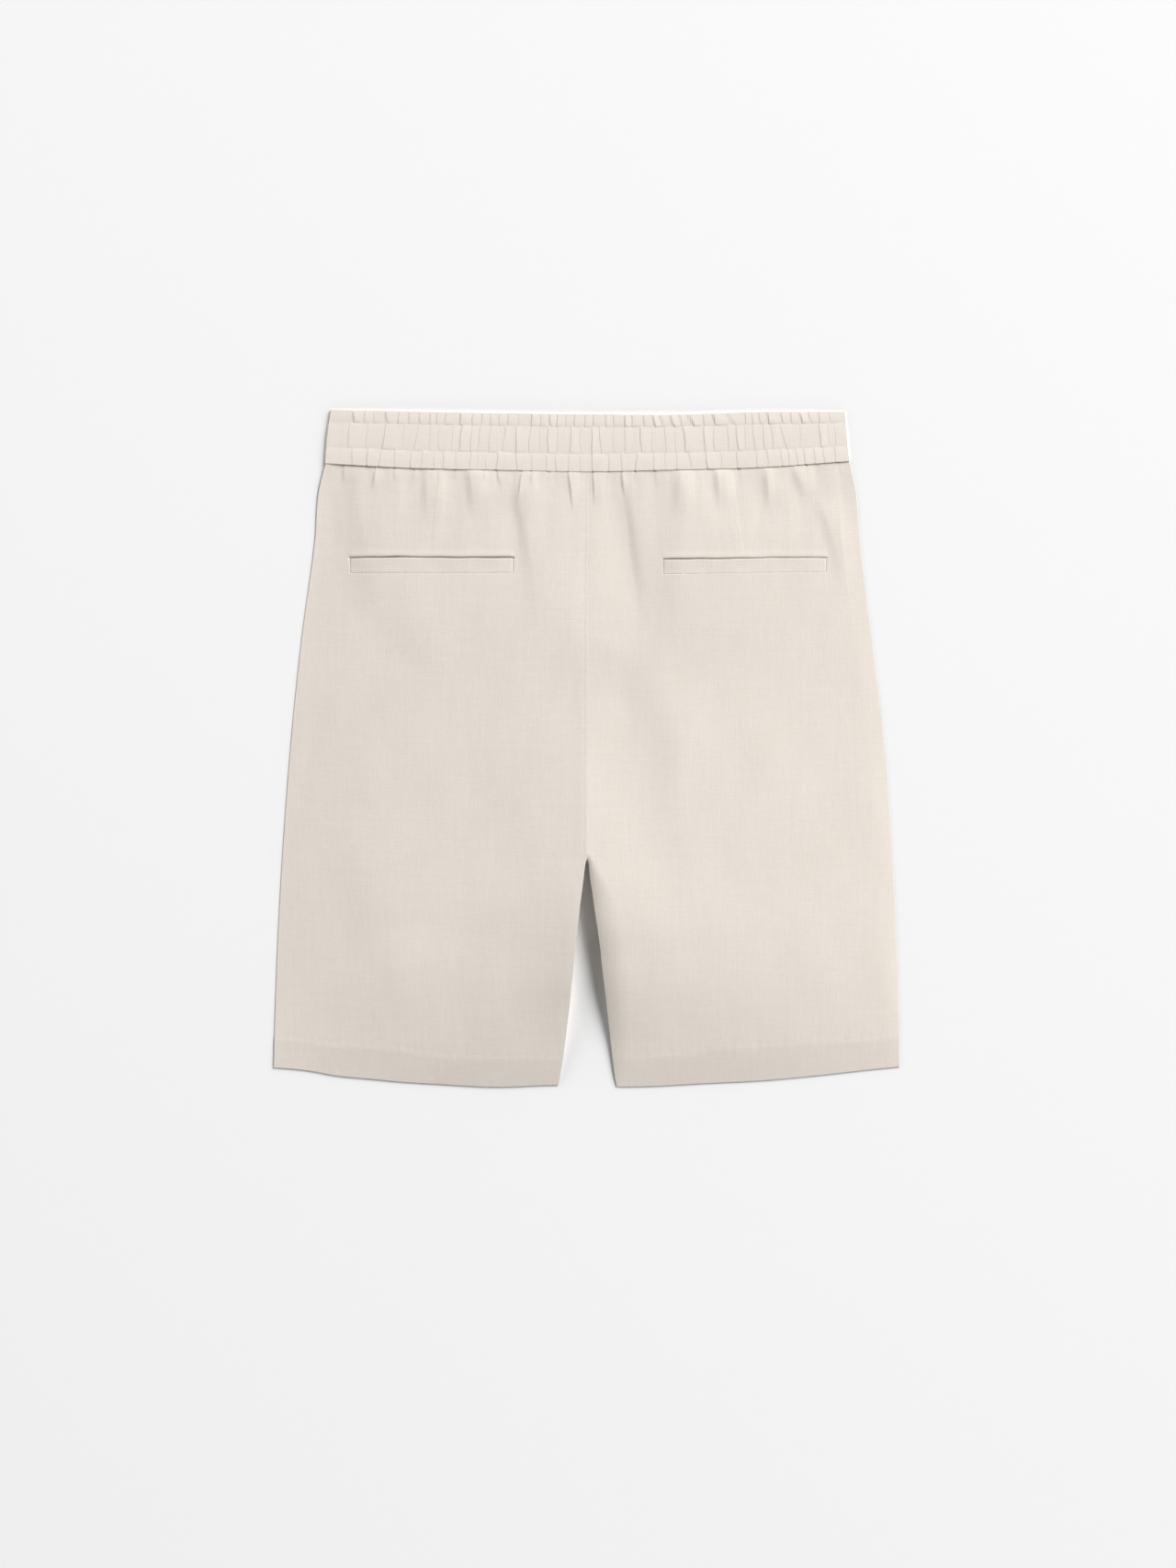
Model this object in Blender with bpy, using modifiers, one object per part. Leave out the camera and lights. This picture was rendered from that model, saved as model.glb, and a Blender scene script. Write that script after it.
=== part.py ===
"""Bermuda shorts laid flat with the back up: fronts, backs, waistband and pocket welts.

Metres, +Z up. The shorts lie on z = 0 with the waistband toward +Y, so the wearer's left is at -X.
The tables are in millimetres, and every point of the cloth is worked out from them.
"""
from collections import namedtuple
from math import hypot, pi, sin

import bmesh
import bpy

MM = 0.001
COLLECTION = "bermuda_shorts"

# Cloth and how it lies
WALL = 1.2  # one panel of linen
HEM_WALL = 2.0  # the leg's end, where the cloth is turned up on itself
GAP = 0.3  # between pieces that touch
SHOULDER = 18.0  # width over which a back rises from its side seam or inseam
SEAM_DIP = 0.5  # how far the seat seam draws the cloth down
SEAM_DRAW = 10.0  # and how far from the seam that reaches
WELT_WALL = 1.2
BAND_INNER_Z = 3.2  # top of the front half of the waistband
FORK_Y = -96.0  # where the seat seam ends and the legs part

# Outline. "at" is the place along the table: y for seams, x for the waist, distance from x = 0 at the hem
Seam = namedtuple("Seam", "at left right")
SIDE_SEAM = (
    Seam(250.0, -226.6, 228.6),
    Seam(243.0, -228.6, 230.4),
    Seam(230.0, -232.0, 233.4),
    Seam(180.0, -236.6, 238.0),
    Seam(100.0, -247.4, 247.8),
    Seam(4.0, -257.4, 259.4),
    Seam(-92.0, -264.6, 266.2),
    Seam(-220.0, -270.8, 272.0),
    Seam(-280.0, -272.4, 272.4),
)
SEAT_SEAM = (Seam(250.0, 1.85, 2.15), Seam(FORK_Y, 0.25, 0.55))
INSEAM = (
    Seam(FORK_Y, 0.25, 0.55),
    Seam(-140.0, -3.6, 4.4),
    Seam(-188.0, -9.4, 10.8),
    Seam(-236.0, -15.8, 18.0),
    Seam(-268.0, -19.6, 22.2),
    Seam(-282.0, -21.8, 24.9),
    Seam(-296.0, -24.4, 27.8),
)
Waist = namedtuple("Waist", "at lower top")
WAIST = (
    Waist(-228.0, 248.2, 295.2),
    Waist(-154.0, 244.2, 293.6),
    Waist(-77.0, 242.4, 292.2),
    Waist(0.0, 241.0, 291.2),
    Waist(77.0, 242.6, 291.0),
    Waist(154.0, 244.8, 293.2),
    Waist(229.0, 250.2, 293.4),
)
WAIST_LEVEL = 241.0  # the waist's lower edge at x = 0
Hem = namedtuple("Hem", "at edge")
HEM = (
    Hem(20.0, -292.8),
    Hem(48.0, -294.4),
    Hem(86.0, -294.2),
    Hem(126.0, -292.2),
    Hem(165.0, -289.6),
    Hem(216.0, -284.6),
    Hem(244.0, -280.6),
    Hem(273.0, -277.0),
)
HEM_LEVEL = -294.0

# Rows of a panel from the waist down. A row lies at its level, bent by its share of the waist's or
# the hem's line; tilt lifts the right panel's row at the side seam; loft is how far a back stands
# off its front; steps is how many rows lead to the next one
Row = namedtuple("Row", "level waist hem tilt wall loft steps")
PANEL_ROWS = (
    Row(WAIST_LEVEL - GAP, 1.0, 0.0, 0.0, WALL, 2.4, 5),
    Row(167.0, 0.0, 0.0, 2.4, WALL, 2.3, 2),  # pocket mouth
    Row(152.6, 0.0, 0.0, 2.4, WALL, 2.3, 7),  # foot of the pocket welt
    Row(FORK_Y, 0.0, 0.0, 0.0, WALL, 2.3, 5),
    Row(-268.0, 0.0, 1.0, 0.0, WALL, 1.8, 1),
    Row(-270.5, 0.0, 1.0, 0.0, HEM_WALL, 1.6, 2),  # top of the turned hem
    Row(HEM_LEVEL, 0.0, 1.0, 0.0, HEM_WALL, 0.8, 0),
)
# Columns of a panel, as shares of the way from the seat seam or inseam to the side seam
WELT_START = 0.272
WELT_END = 0.862
WELT_STEPS = 9
COLUMNS = (
    [0.0, 0.02, 0.06, 0.11, 0.16, 0.215]
    + [WELT_START + (WELT_END - WELT_START) * step / WELT_STEPS for step in range(WELT_STEPS + 1)]
    + [0.90, 0.94, 0.97, 0.99, 1.0]
)
WELT_FIRST_COLUMN = COLUMNS.index(WELT_START)
WELT_FIRST_ROW = PANEL_ROWS[0].steps
WELT_ROWS = PANEL_ROWS[1].steps

# Largest folds of the two backs: a ridge (rise over 0) or a trough from its head to its foot
FOLD_FADE = 0.4  # last share of a fold's length, over which it fades out
Fold = namedtuple("Fold", "head_x head_y foot_x foot_y half_width rise")
FOLDS = (
    Fold(-144.0, 246.0, -142.0, 192.0, 9.0, -0.9),
    Fold(-103.0, 246.0, -101.0, 206.0, 8.0, -1.0),
    Fold(-58.0, 246.0, -45.0, 130.0, 9.0, -1.2),
    Fold(-14.0, 246.0, -12.0, 206.0, 7.0, -0.9),
    Fold(30.0, 246.0, 62.0, 104.0, 11.0, -1.4),
    Fold(82.0, 246.0, 75.0, 186.0, 11.0, -1.1),
    Fold(132.0, 246.0, 137.0, 190.0, 9.0, -0.9),
    Fold(164.0, 250.0, 194.0, 208.0, 9.0, -1.0),
    Fold(206.0, 236.0, 224.0, 124.0, 12.0, -1.0),
    Fold(-212.0, 150.0, -126.0, 50.0, 20.0, -1.1),
    Fold(29.0, 40.0, 72.0, -64.0, 18.0, -1.0),
    Fold(186.0, 128.0, 142.0, 82.0, 16.0, -0.8),
)

# Rows of the waistband from its lower edge to its top fold: share of its width, height of the
# cloth over the inner face, and how much of each gather shows there
BandRow = namedtuple("BandRow", "share height gather")
BAND_ROWS = (
    BandRow(0.000, 1.7, 0.0),
    BandRow(0.035, 2.9, 0.4),
    BandRow(0.155, 3.6, 1.0),  # lower channel
    BandRow(0.305, 2.7, 0.5),  # lower row of stitching
    BandRow(0.535, 3.8, 1.0),  # middle channel
    BandRow(0.770, 2.7, 0.5),  # upper row of stitching
    BandRow(0.885, 3.5, 1.0),  # upper channel
    BandRow(0.970, 2.6, 0.4),
    BandRow(1.000, 1.5, 0.0),
)
BAND_ENDS = (Seam(295.0, -222.4, 224.8), Seam(270.0, -226.0, 226.8), Seam(249.0, -227.4, 228.8))
# Rounding of the waistband's two ends: distance from the end and share of the full height there
End = namedtuple("End", "inset share")
BAND_ROUNDING = (End(0.0, 0.4), End(1.4, 0.78), End(5.0, 1.0))
Gather = namedtuple("Gather", "x depth")
GATHERS = (
    Gather(-208.0, 0.9), Gather(-191.0, 0.8), Gather(-178.0, 0.9), Gather(-160.0, 0.4),
    Gather(-147.5, 0.7), Gather(-129.0, 0.5), Gather(-111.0, 0.9), Gather(-93.0, 0.6),
    Gather(-77.0, 0.7), Gather(-61.5, 1.0), Gather(-48.5, 0.9), Gather(-33.0, 0.8),
    Gather(-13.5, 0.8), Gather(5.0, 1.0), Gather(23.5, 0.6), Gather(34.0, 0.8),
    Gather(48.0, 1.0), Gather(60.5, 0.9), Gather(75.5, 0.7), Gather(90.0, 1.0),
    Gather(103.5, 0.9), Gather(118.0, 0.7), Gather(132.0, 0.9), Gather(146.5, 0.5),
    Gather(160.5, 0.9), Gather(173.0, 0.6), Gather(189.5, 0.8), Gather(205.0, 0.9),
    Gather(216.5, 0.5),
)

LINEN = (0.769, 0.694, 0.620, 1.0)  # natural linen, linear colour
LINEN_ROUGHNESS = 0.9


def smooth(rows, place, column):
    """Read a column of a table between its rows, on a smooth curve through them."""
    forward = rows[1].at - rows[0].at
    index = 0
    while index < len(rows) - 2 and (place - rows[index + 1].at) * forward > 0:
        index += 1
    near = [rows[min(max(index + step, 0), len(rows) - 1)] for step in (-1, 0, 1, 2)]
    before, start, end, after = [getattr(row, column) for row in near]
    span = near[2].at - near[1].at
    leave = (end - before) / (near[2].at - near[0].at) * span
    reach = (after - start) / (near[3].at - near[1].at) * span
    t = (place - near[1].at) / span
    bend = (2 * start - 2 * end + leave + reach) * t + (3 * end - 3 * start - 2 * leave - reach)
    return start + t * (leave + t * bend)


def mix(start, end, share):
    return start + (end - start) * share


def inner_x(side, y):
    """Edge of a panel next to the other leg: the seat seam above the fork, the inseam below it."""
    return smooth(SEAT_SEAM if y >= FORK_Y else INSEAM, y, side)


def panel_rows():
    """All rows of a panel, those between the table's rows worked out from their two neighbours."""
    rows = []
    for upper, lower in zip(PANEL_ROWS, PANEL_ROWS[1:]):
        for step in range(upper.steps):
            share = step / upper.steps
            blend = [mix(a, b, share) for a, b in zip(upper, lower)]
            rows.append(Row(*blend))
    return rows + [PANEL_ROWS[-1]]


def row_y(row, side, x, across):
    """Height on the page of a panel's row at x."""
    waist = row.waist * (smooth(WAIST, x, "lower") - WAIST_LEVEL)
    hem = row.hem * (smooth(HEM, abs(x), "edge") - HEM_LEVEL)
    tilt = row.tilt * across if side == "right" else 0.0
    return row.level + waist + hem + tilt


def panel_plan(row, side, across):
    """Plan point of a panel, across running from its inner edge (0) to its side seam (1)."""
    inner_y = row_y(row, side, inner_x(side, row.level), 0.0)
    outer_y = row_y(row, side, smooth(SIDE_SEAM, row.level, side), 1.0)
    x = mix(inner_x(side, inner_y), smooth(SIDE_SEAM, outer_y, side), across)
    return x, row_y(row, side, x, across)


def rise(distance, reach):
    """Rounded climb from 0 at an edge to 1 at reach from it."""
    return sin(pi / 2 * min(max(distance / reach, 0.0), 1.0))


def fold_height(x, y):
    """Sum of the folds' ridges and troughs at a point."""
    total = 0.0
    for fold in FOLDS:
        along_x, along_y = fold.foot_x - fold.head_x, fold.foot_y - fold.head_y
        length = hypot(along_x, along_y)
        along = ((x - fold.head_x) * along_x + (y - fold.head_y) * along_y) / length
        off = abs((x - fold.head_x) * along_y - (y - fold.head_y) * along_x) / length
        if 0 < along < length and off < fold.half_width:
            fade = min(1.0, (1 - along / length) / FOLD_FADE)
            total += fold.rise * fade * (1 - (off / fold.half_width) ** 2) ** 2
    return total


def back_height(row, side, x, y):
    """Height of a back's outer face: flat at its seams, lofted and folded between them."""
    from_side = abs(smooth(SIDE_SEAM, y, side) - x)
    from_inner = abs(x - inner_x(side, y))
    from_fork = hypot(from_inner, max(y - FORK_Y, 0.0))
    full = rise(from_side, SHOULDER) * rise(from_fork, SHOULDER)
    seam = SEAM_DIP * (1 - rise(from_inner, SEAM_DRAW)) if y > FORK_Y else 0.0
    rest = 2 * row.wall + GAP
    return rest + max(0.0, full * (row.loft + fold_height(x, y) - seam))


def back_points(side):
    """The outer face of a back as rows of points, each row from the inner edge to the side seam."""
    points = []
    for row in panel_rows():
        plan = [panel_plan(row, side, across) for across in COLUMNS]
        points.append([(x, y, back_height(row, side, x, y)) for x, y in plan])
    return points


def front_points(side):
    """The outer face of a front, flat on the surface, on every other column of its back."""
    columns = COLUMNS[::2]
    return [[(*panel_plan(row, side, across), 0.0) for across in columns] for row in panel_rows()]


def welt_points(side):
    """The underside of a pocket welt: the back's own points under it, moved out."""
    rows = back_points(side)[WELT_FIRST_ROW:WELT_FIRST_ROW + WELT_ROWS + 1]
    last = WELT_FIRST_COLUMN + WELT_STEPS
    return [[(x, y, z + GAP) for x, y, z in row[WELT_FIRST_COLUMN:last + 1]] for row in rows]


def band_columns(gathers):
    """The waistband's columns: rounded ends, a trough at each gather and a crest between two."""
    left, right = BAND_ENDS[-1].left, BAND_ENDS[-1].right
    columns = [(left + end.inset, end.share, 0.0) for end in BAND_ROUNDING]
    for gather, following in zip(gathers, gathers[1:]):
        columns.append((gather.x, 1.0, gather.depth))
        columns.append(((gather.x + following.x) / 2, 1.0, 0.0))
    columns.append((gathers[-1].x, 1.0, gathers[-1].depth))
    columns += [(right - end.inset, end.share, 0.0) for end in reversed(BAND_ROUNDING)]
    return columns


def band_points(gathers):
    """Outer face of half the waistband: rows of plan points with their height over its inner face."""
    left, right = BAND_ENDS[-1].left, BAND_ENDS[-1].right
    points = []
    for row in BAND_ROWS:
        line = []
        for x, full, depth in band_columns(gathers):
            y = mix(smooth(WAIST, x, "lower"), smooth(WAIST, x, "top"), row.share)
            ends = smooth(BAND_ENDS, y, "left"), smooth(BAND_ENDS, y, "right")
            share = (x - left) / (right - left)
            line.append((mix(*ends, share), y, row.height * full - depth * row.gather))
        points.append(line)
    return points


def sheet(rows):
    """A plane grid moved onto rows of points, its faces turned up."""
    mesh = bmesh.new()
    count = len(rows[0]) - 1, len(rows) - 1
    grid = bmesh.ops.create_grid(mesh, x_segments=count[0], y_segments=count[1], size=1.0)
    for vertex in grid["verts"]:
        column = round((vertex.co.x + 1) / 2 * count[0])
        row = round((vertex.co.y + 1) / 2 * count[1])
        vertex.co = [value * MM for value in rows[row][column]]
    mesh.normal_update()
    if sum(face.normal.z for face in mesh.faces) < 0:
        bmesh.ops.reverse_faces(mesh, faces=mesh.faces)
    return mesh


def add_object(name, mesh_data, material, collection):
    """Put a finished bmesh in the scene as one named piece of cloth."""
    mesh = bpy.data.meshes.new(name)
    mesh_data.to_mesh(mesh)
    mesh_data.free()
    mesh.materials.append(material)
    piece = bpy.data.objects.new(name, mesh)
    collection.objects.link(piece)
    return piece


def add_shell(name, rows, wall, offset, material, collection):
    """A wall of cloth grown from a face: downward (offset -1) or upward (offset 1)."""
    piece = add_object(name, sheet(rows), material, collection)
    cloth = piece.modifiers.new("cloth", "SOLIDIFY")
    cloth.thickness = wall * MM
    cloth.offset = offset
    return piece


def thicken_hem(piece):
    """Give the rows below the top of the hem the wall of the turned-up cloth."""
    hem = piece.vertex_groups.new(name="hem")
    walls = [row.wall for row in panel_rows()]
    per_row = len(piece.data.vertices) // len(walls)
    turned = [index for index in range(len(piece.data.vertices)) if walls[index // per_row] > WALL]
    hem.add(turned, 1.0, "REPLACE")
    cloth = piece.modifiers["cloth"]
    cloth.thickness = HEM_WALL * MM
    cloth.vertex_group = hem.name
    cloth.thickness_vertex_group = WALL / HEM_WALL


def add_band(name, gathers, place, material, collection):
    """Half of the waistband: its gathered outer face, closed by a flat inner face."""
    rows = [[place(point) for point in row] for row in band_points(gathers)]
    mesh = sheet(rows)
    inner_z = place((0.0, 0.0, 0.0))[2] * MM
    rim = [edge for edge in mesh.edges if edge.is_boundary]
    skirt = bmesh.ops.extrude_edge_only(mesh, edges=rim)["geom"]
    for vertex in [item for item in skirt if isinstance(item, bmesh.types.BMVert)]:
        vertex.co.z = inner_z
    bmesh.ops.contextual_create(mesh, geom=[edge for edge in mesh.edges if edge.is_boundary])
    bmesh.ops.recalc_face_normals(mesh, faces=mesh.faces)
    return add_object(name, mesh, material, collection)


def back_band_place(point):
    """The back half of the waistband stands on the front half."""
    x, y, height = point
    return x, y, BAND_INNER_Z + GAP + height


def front_band_place(point):
    """The front half faces down and is pressed flat where it rests."""
    x, y, height = point
    return x, y, BAND_INNER_Z - min(height, BAND_INNER_Z)


def linen():
    """Natural linen cloth: matt and undyed."""
    material = bpy.data.materials.new("linen")
    material.use_nodes = True
    shader = material.node_tree.nodes["Principled BSDF"]
    shader.inputs["Base Color"].default_value = LINEN
    shader.inputs["Roughness"].default_value = LINEN_ROUGHNESS
    shader.inputs["Metallic"].default_value = 0.0
    return material


def clear_scene():
    for item in list(bpy.data.objects):
        bpy.data.objects.remove(item, do_unlink=True)


def main():
    clear_scene()
    collection = bpy.data.collections.new(COLLECTION)
    bpy.context.scene.collection.children.link(collection)
    for side in ("left", "right"):
        back = add_shell(f"back_{side}", back_points(side), WALL, -1.0, linen(), collection)
        front = add_shell(f"front_{side}", front_points(side), WALL, 1.0, linen(), collection)
        thicken_hem(back)
        thicken_hem(front)
        add_shell(f"welt_{side}", welt_points(side), WELT_WALL, 1.0, linen(), collection)
    add_band("waistband_back", GATHERS, back_band_place, linen(), collection)
    add_band("waistband_front", GATHERS[::2], front_band_place, linen(), collection)


main()
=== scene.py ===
"""Linen bermuda shorts laid flat with the back up.

The panels are thin shells of natural linen, arched from side seam to seat seam and folded from
short tables. The waistband is one gathered loop of doubled cloth. Table sizes are in
millimetres, heights are over the surface that the shorts lie on.
"""

from collections import namedtuple
from math import cos, pi, radians, sin

import bmesh
import bpy
import numpy as np
from bpy.props import FloatProperty, PointerProperty, StringProperty
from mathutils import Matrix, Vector


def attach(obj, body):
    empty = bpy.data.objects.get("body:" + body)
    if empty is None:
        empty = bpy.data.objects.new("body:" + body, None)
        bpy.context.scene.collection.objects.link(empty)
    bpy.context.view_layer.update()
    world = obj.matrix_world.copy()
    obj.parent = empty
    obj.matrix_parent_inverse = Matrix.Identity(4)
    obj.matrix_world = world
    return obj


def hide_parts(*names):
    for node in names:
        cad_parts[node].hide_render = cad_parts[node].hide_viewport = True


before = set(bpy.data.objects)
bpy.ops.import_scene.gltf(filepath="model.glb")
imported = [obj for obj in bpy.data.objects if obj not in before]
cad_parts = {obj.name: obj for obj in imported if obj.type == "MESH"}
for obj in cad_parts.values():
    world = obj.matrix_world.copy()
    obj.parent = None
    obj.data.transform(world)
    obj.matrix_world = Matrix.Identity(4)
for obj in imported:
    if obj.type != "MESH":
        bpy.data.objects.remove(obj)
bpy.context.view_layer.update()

bl_info = {
    "name": "Linen bermuda shorts",
    "version": (1, 0, 0),
    "blender": (4, 5, 0),
    "location": "3D View > Sidebar > Shorts",
    "description": "Builds linen bermuda shorts laid flat: panels, waistband, welts and stitching",
    "category": "Object",
}

MM = 0.001
LINEN = "linen_plain_weave"
SIDES = ("left", "right")


def table(fields, *rows):
    """The rows of a table, with a name for each field. A last field that is left out is 0."""
    row_kind = namedtuple("Row", fields, defaults=(0,))
    return [row_kind(*row) for row in rows]


# Cut of the shorts

SIDE_SEAM = table(
    "at left right",
    (250, -226.6, 228.6), (243, -228.6, 230.4), (230, -232, 233.4), (180, -236.6, 238),
    (100, -247.4, 247.8), (4, -257.4, 259.4), (-92, -264.6, 266.2), (-220, -270.8, 272),
    (-280, -272.4, 272.4),
)
FORK_Y = -96.0  # where the seat seam ends and the legs part
SEAT_SEAM = table("at left right", (250, 1.97, 2.03), (FORK_Y, 0.37, 0.43))
INSEAM = table(
    "at left right",
    (FORK_Y, 0.37, 0.43), (-99, -0.8, 1.4), (-106, -1.8, 2.3), (-115, -2.9, 3.3), (-125, -4.2, 5),
    (-140, -6.1, 7), (-157, -8.1, 9.6), (-172, -9.7, 11.6), (-188, -11.2, 13.3),
    (-204, -12.8, 15.2), (-220, -14.4, 17.2), (-236, -16.3, 18.9), (-252, -18.2, 20.7),
    (-268, -20.3, 22.5), (-284, -22.8, 24.5), (-296, -24.9, 26.4),
)
WAIST = table(
    "at lower top",
    (-228, 248.2, 295.2), (-154, 244.2, 293.6), (-77, 242.4, 292.2), (0, 241, 291.2),
    (77, 242.6, 291), (154, 244.8, 293.2), (229, 250.2, 293.4),
)
WAIST_LEVEL = 241.0
HEM = table(
    "at edge",
    (-273, -277.4), (-243.6, -280), (-216.4, -284.8), (-190.8, -287.2), (-165.2, -289.6),
    (-126, -292.2), (-78.8, -294.4), (-25.2, -292.8), (27.6, -294.2), (51.6, -294), (102, -291.4),
    (154, -288.8), (206, -284), (245.2, -279.6), (273, -276.8),
)
HEM_LEVEL = -294.0
HEM_DEPTH = 28.0
# Height of the hem's stitching over its leg's edge, by distance from the middle
TURNUP = table(
    "at left right",
    (20, 23.4, 25.2), (80, 25, 26.6), (122, 24.4, 29.6), (150, 26.8, 30.2), (193, 28.6, 29.4),
    (237, 25.2, 26.4), (273, 25, 26),
)
BAND_LEFT, BAND_RIGHT = -227.6, 229.0
BAND_ENDS = table(
    "at left right", (295, -222.6, 225), (270, -226.2, 227), (249, BAND_LEFT, BAND_RIGHT)
)

# A panel's rows are level from WAIST_REACH to the fork, and at HEM_REACH they follow the hem
WAIST_REACH = 167.0
HEM_REACH = -268.0

# Heights of the lay

SIDE_SEAM_Z = 0.35  # where back and front meet down the side
SIDE_EDGE_Z = 0.5  # top of the pressed side edge
SIDE_ROLL = 0.2  # how far in that edge is round
HALF_WIDTH = 262.0  # from side seam to seat seam
# Loft of the back over its side edge at the middle: flattest at the waist, highest at the crotch
LOFT = table(
    "at middle",
    (250, 2.6), (200, 4.3), (120, 6.2), (20, 7), (-96, 8.8), (-140, 9.6), (-190, 9), (-240, 7.6),
    (-296, 6.8),
)
# How far the cloth beside a side edge is off the arch of the lay, and how soon it gets there
LIP = table(
    "at left right",
    (250, -0.9, 0), (130, -0.9, 0.05), (92, -0.7, 0.25), (12, -0.3, 0.4), (-68, -0.4, 0.4),
    (-148, -0.3, 0.4), (-228, -0.1, 0.8), (-296, -0.1, 0.8),
)
LIP_REACH = {"left": 30.0, "right": 16.0}
LIP_END = 0.85  # share of the panel's width where the arch is met again
HEM_Z = {"left": 0.8, "right": 0.7}
HEM_SLOPE = {"left": 98.0, "right": 120.0}  # a leg sinks to its hem over this length
HEM_POWER = 2.6
HEM_TURN = 0.25  # round of the hem's edge
# The legs stand up along the inseam: lift of the crest on either side, how much the left leg's
# edge curls up, and how far the right leg's edge drops and over what width
CROTCH = table(
    "at lift_left lift_right curl drop reach",
    (150, 0, 0, 0, 0, 0.3), (60, 1.2, 1.2, 0, 0, 0.3), (10, 2.1, 2.1, 0, 0, 0.3),
    (-30, 2.9, 2.9, 0, 0, 0.3), (-70, 3.8, 3.8, 0, 0.2, 1), (-96, 4.4, 4.4, 0, 1.1, 5),
    (-106, 4.6, 4.7, 0, 1.7, 9), (-118, 4.8, 4.9, 0.1, 2.4, 15), (-132, 4.9, 4.9, 0.2, 2.9, 20),
    (-156, 4.9, 4.7, 0.5, 3.2, 22), (-180, 4.5, 3.2, 0.8, 3.2, 23), (-204, 3.8, 1.9, 0.8, 2.7, 22),
    (-220, 2.7, 0.9, 0.5, 2.4, 21), (-236, 1.6, 0, 0.2, 2.3, 20), (-255, 0.6, -0.9, -0.2, 2, 20),
    (-268, 0.2, -1, -0.4, 1.6, 16), (-290, 0, -0.7, -0.3, 0.4, 8), (-296, 0, -0.6, -0.3, 0.1, 2),
)
CURL_REACH = 17.0
CREST_REACH = {"left": 105.0, "right": 120.0}  # the crest runs out at this distance from the inseam
FRONT_LIFT_REACH = 30.0  # a front panel rises to its inseam over this distance
INNER_POWER = 2.3  # how much more steeply both turn near the inseam
# From the band's face down to the panels sewn to it, at the left and the right
WAIST_STEP = {"left": 0.35, "right": 0.8}
WAIST_REACH_Z = 40.0  # the panels come to that height over this length
FRONT_Z = 0.12
FRONT_DEEPEST = 1.05  # creases of a front go no higher over its lowest face
INSEAM_WALL, SIDE_WALL = 0.3, 0.15  # from the back's face to the front's at the two edges
LOWEST = 0.08  # no cloth comes nearer to the floor

# Folds and creases

# A fold runs from head to foot. left and right are its widths on either side, height is over 0
# for a ridge, start is its share of height at the head, and bow takes it to the right on its way
# down. With a left under TUCK_WIDTH it is a tuck, which rises at once and runs out to the right.
FOLD = "head_x head_y foot_x foot_y left right height start bow"
TUCK_WIDTH = 2.0
FOLD_WIDENS = 0.4  # by this share of its width from head to foot
FOLD_FULL, FOLD_FADES = 0.3, 0.35  # shares of its length where it is fully up and starts to run out
BACK_FOLDS = table(
    FOLD,
    # gathers of the left back, from the side seam to the seat seam
    (-212, 245, -212, 230, 0.6, 6, 0.5, 1),
    (-183.6, 245, -187.4, 224, 0.6, 7, 0.75, 1),
    (-167.4, 244.5, -167.6, 232, 0.5, 6, 0.5, 1),
    (-150.6, 244, -151, 234, 0.5, 6, 0.25, 1),
    (-138.6, 242, -137, 192, 4.4, 16, 1, 0.7),
    (-134.6, 243.6, -134.8, 234, 0.5, 6, 0.2, 1),
    (-115, 243.4, -115.4, 233, 0.5, 6, 0.3, 1),
    (-100.6, 243.4, -97, 198, 3.6, 18, 1.15, 0.9),
    (-89.2, 243, -88.6, 232, 0.5, 6, 0.5, 1),
    (-78.4, 242.8, -75, 226, 0.5, 6, 0.55, 1),
    (-58, 238, -57.4, 192, 5.5, 20, 0.85, 0.4),
    (-56.7, 243, -61.8, 210, 0.6, 7, 0.8, 1, 0.4),
    (-68, 228, -60, 138, 12, 5, -0.5, 0.1, 3),
    (-59, 226, -41, 90, 6.5, 22, 0.8, 0.2, 4),
    (-48.4, 242.6, -49, 227, 0.5, 6, 0.5, 1),
    (-33, 242, -33, 233, 0.5, 5, 0.25, 1),
    (-16.8, 242, -12.2, 202, 0.6, 8, 0.85, 1, 0.6),
    # gathers of the right back, from the seat seam to the side seam
    (5.2, 242, 6.8, 208, 0.7, 7, 0.8, 1),
    (18, 242.2, 18, 232, 0.5, 6, 0.3, 1),
    (29.8, 243, 33, 216, 0.9, 5, 0.9, 1),
    (42, 242, 42, 232, 0.5, 6, 0.3, 1),
    (59.6, 242.6, 59.6, 228, 0.6, 7, 0.25, 1),
    (82.6, 242, 79.6, 194, 4.6, 16, 1.2, 0.7),
    (114.2, 243.4, 118, 204, 3.6, 12, 1.1, 0.8),
    (132.4, 244, 132.4, 235, 0.5, 5, 0.25, 1),
    (156.8, 244.6, 162, 200, 4, 12, 1.1, 0.8),
    (182, 245, 192, 212, 4.2, 9, 0.85, 0.7, 1),
    (200, 224, 225, 128, 5.6, 18, 0.8, 0, 5),
    (191.6, 247.5, 192, 237, 0.5, 5, 0.25, 1),
    (219.6, 250, 221.4, 235, 0.6, 6, 0.4, 1),
    # ridge down the left seat beside its hollow
    (-194, 246, -168, 66, 17, 60, 1.4, 0.5, -4),
    # valley between the seat's two halves, with its sharp right side, and the ridge beyond it
    (28.6, 238, 47, 90, 20, 5.2, -1.25, 0.2),
    (30, 200, 40, 84, 50, 9, -0.4, 0),
    (90, 240, 78, 60, 18, 110, 2.3, 0.3),
    (28, 96, 30, -96, 42, 22, -1.4, 0),
    (77, 66, 102, -190, 19, 90, 1.3, 0),
    # the line of the seat seam
    (-2, 216, -2, 40, 5, 7, -0.4, 0.3),
    # broad folds of the seat and legs
    (-190, -50, -184, -236, 20, 44, 0.8, 0),
    (-150, -150, -150, -292, 40, 60, 1, 0),
    (84, -110, 92, -280, 40, 60, 0.5, 0),
    (20, 106, 32, 36, 12, 14, 0.25, 0),
    (-212, 152, -124, 48, 14, 16, -0.3, 0, -15),
)
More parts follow.
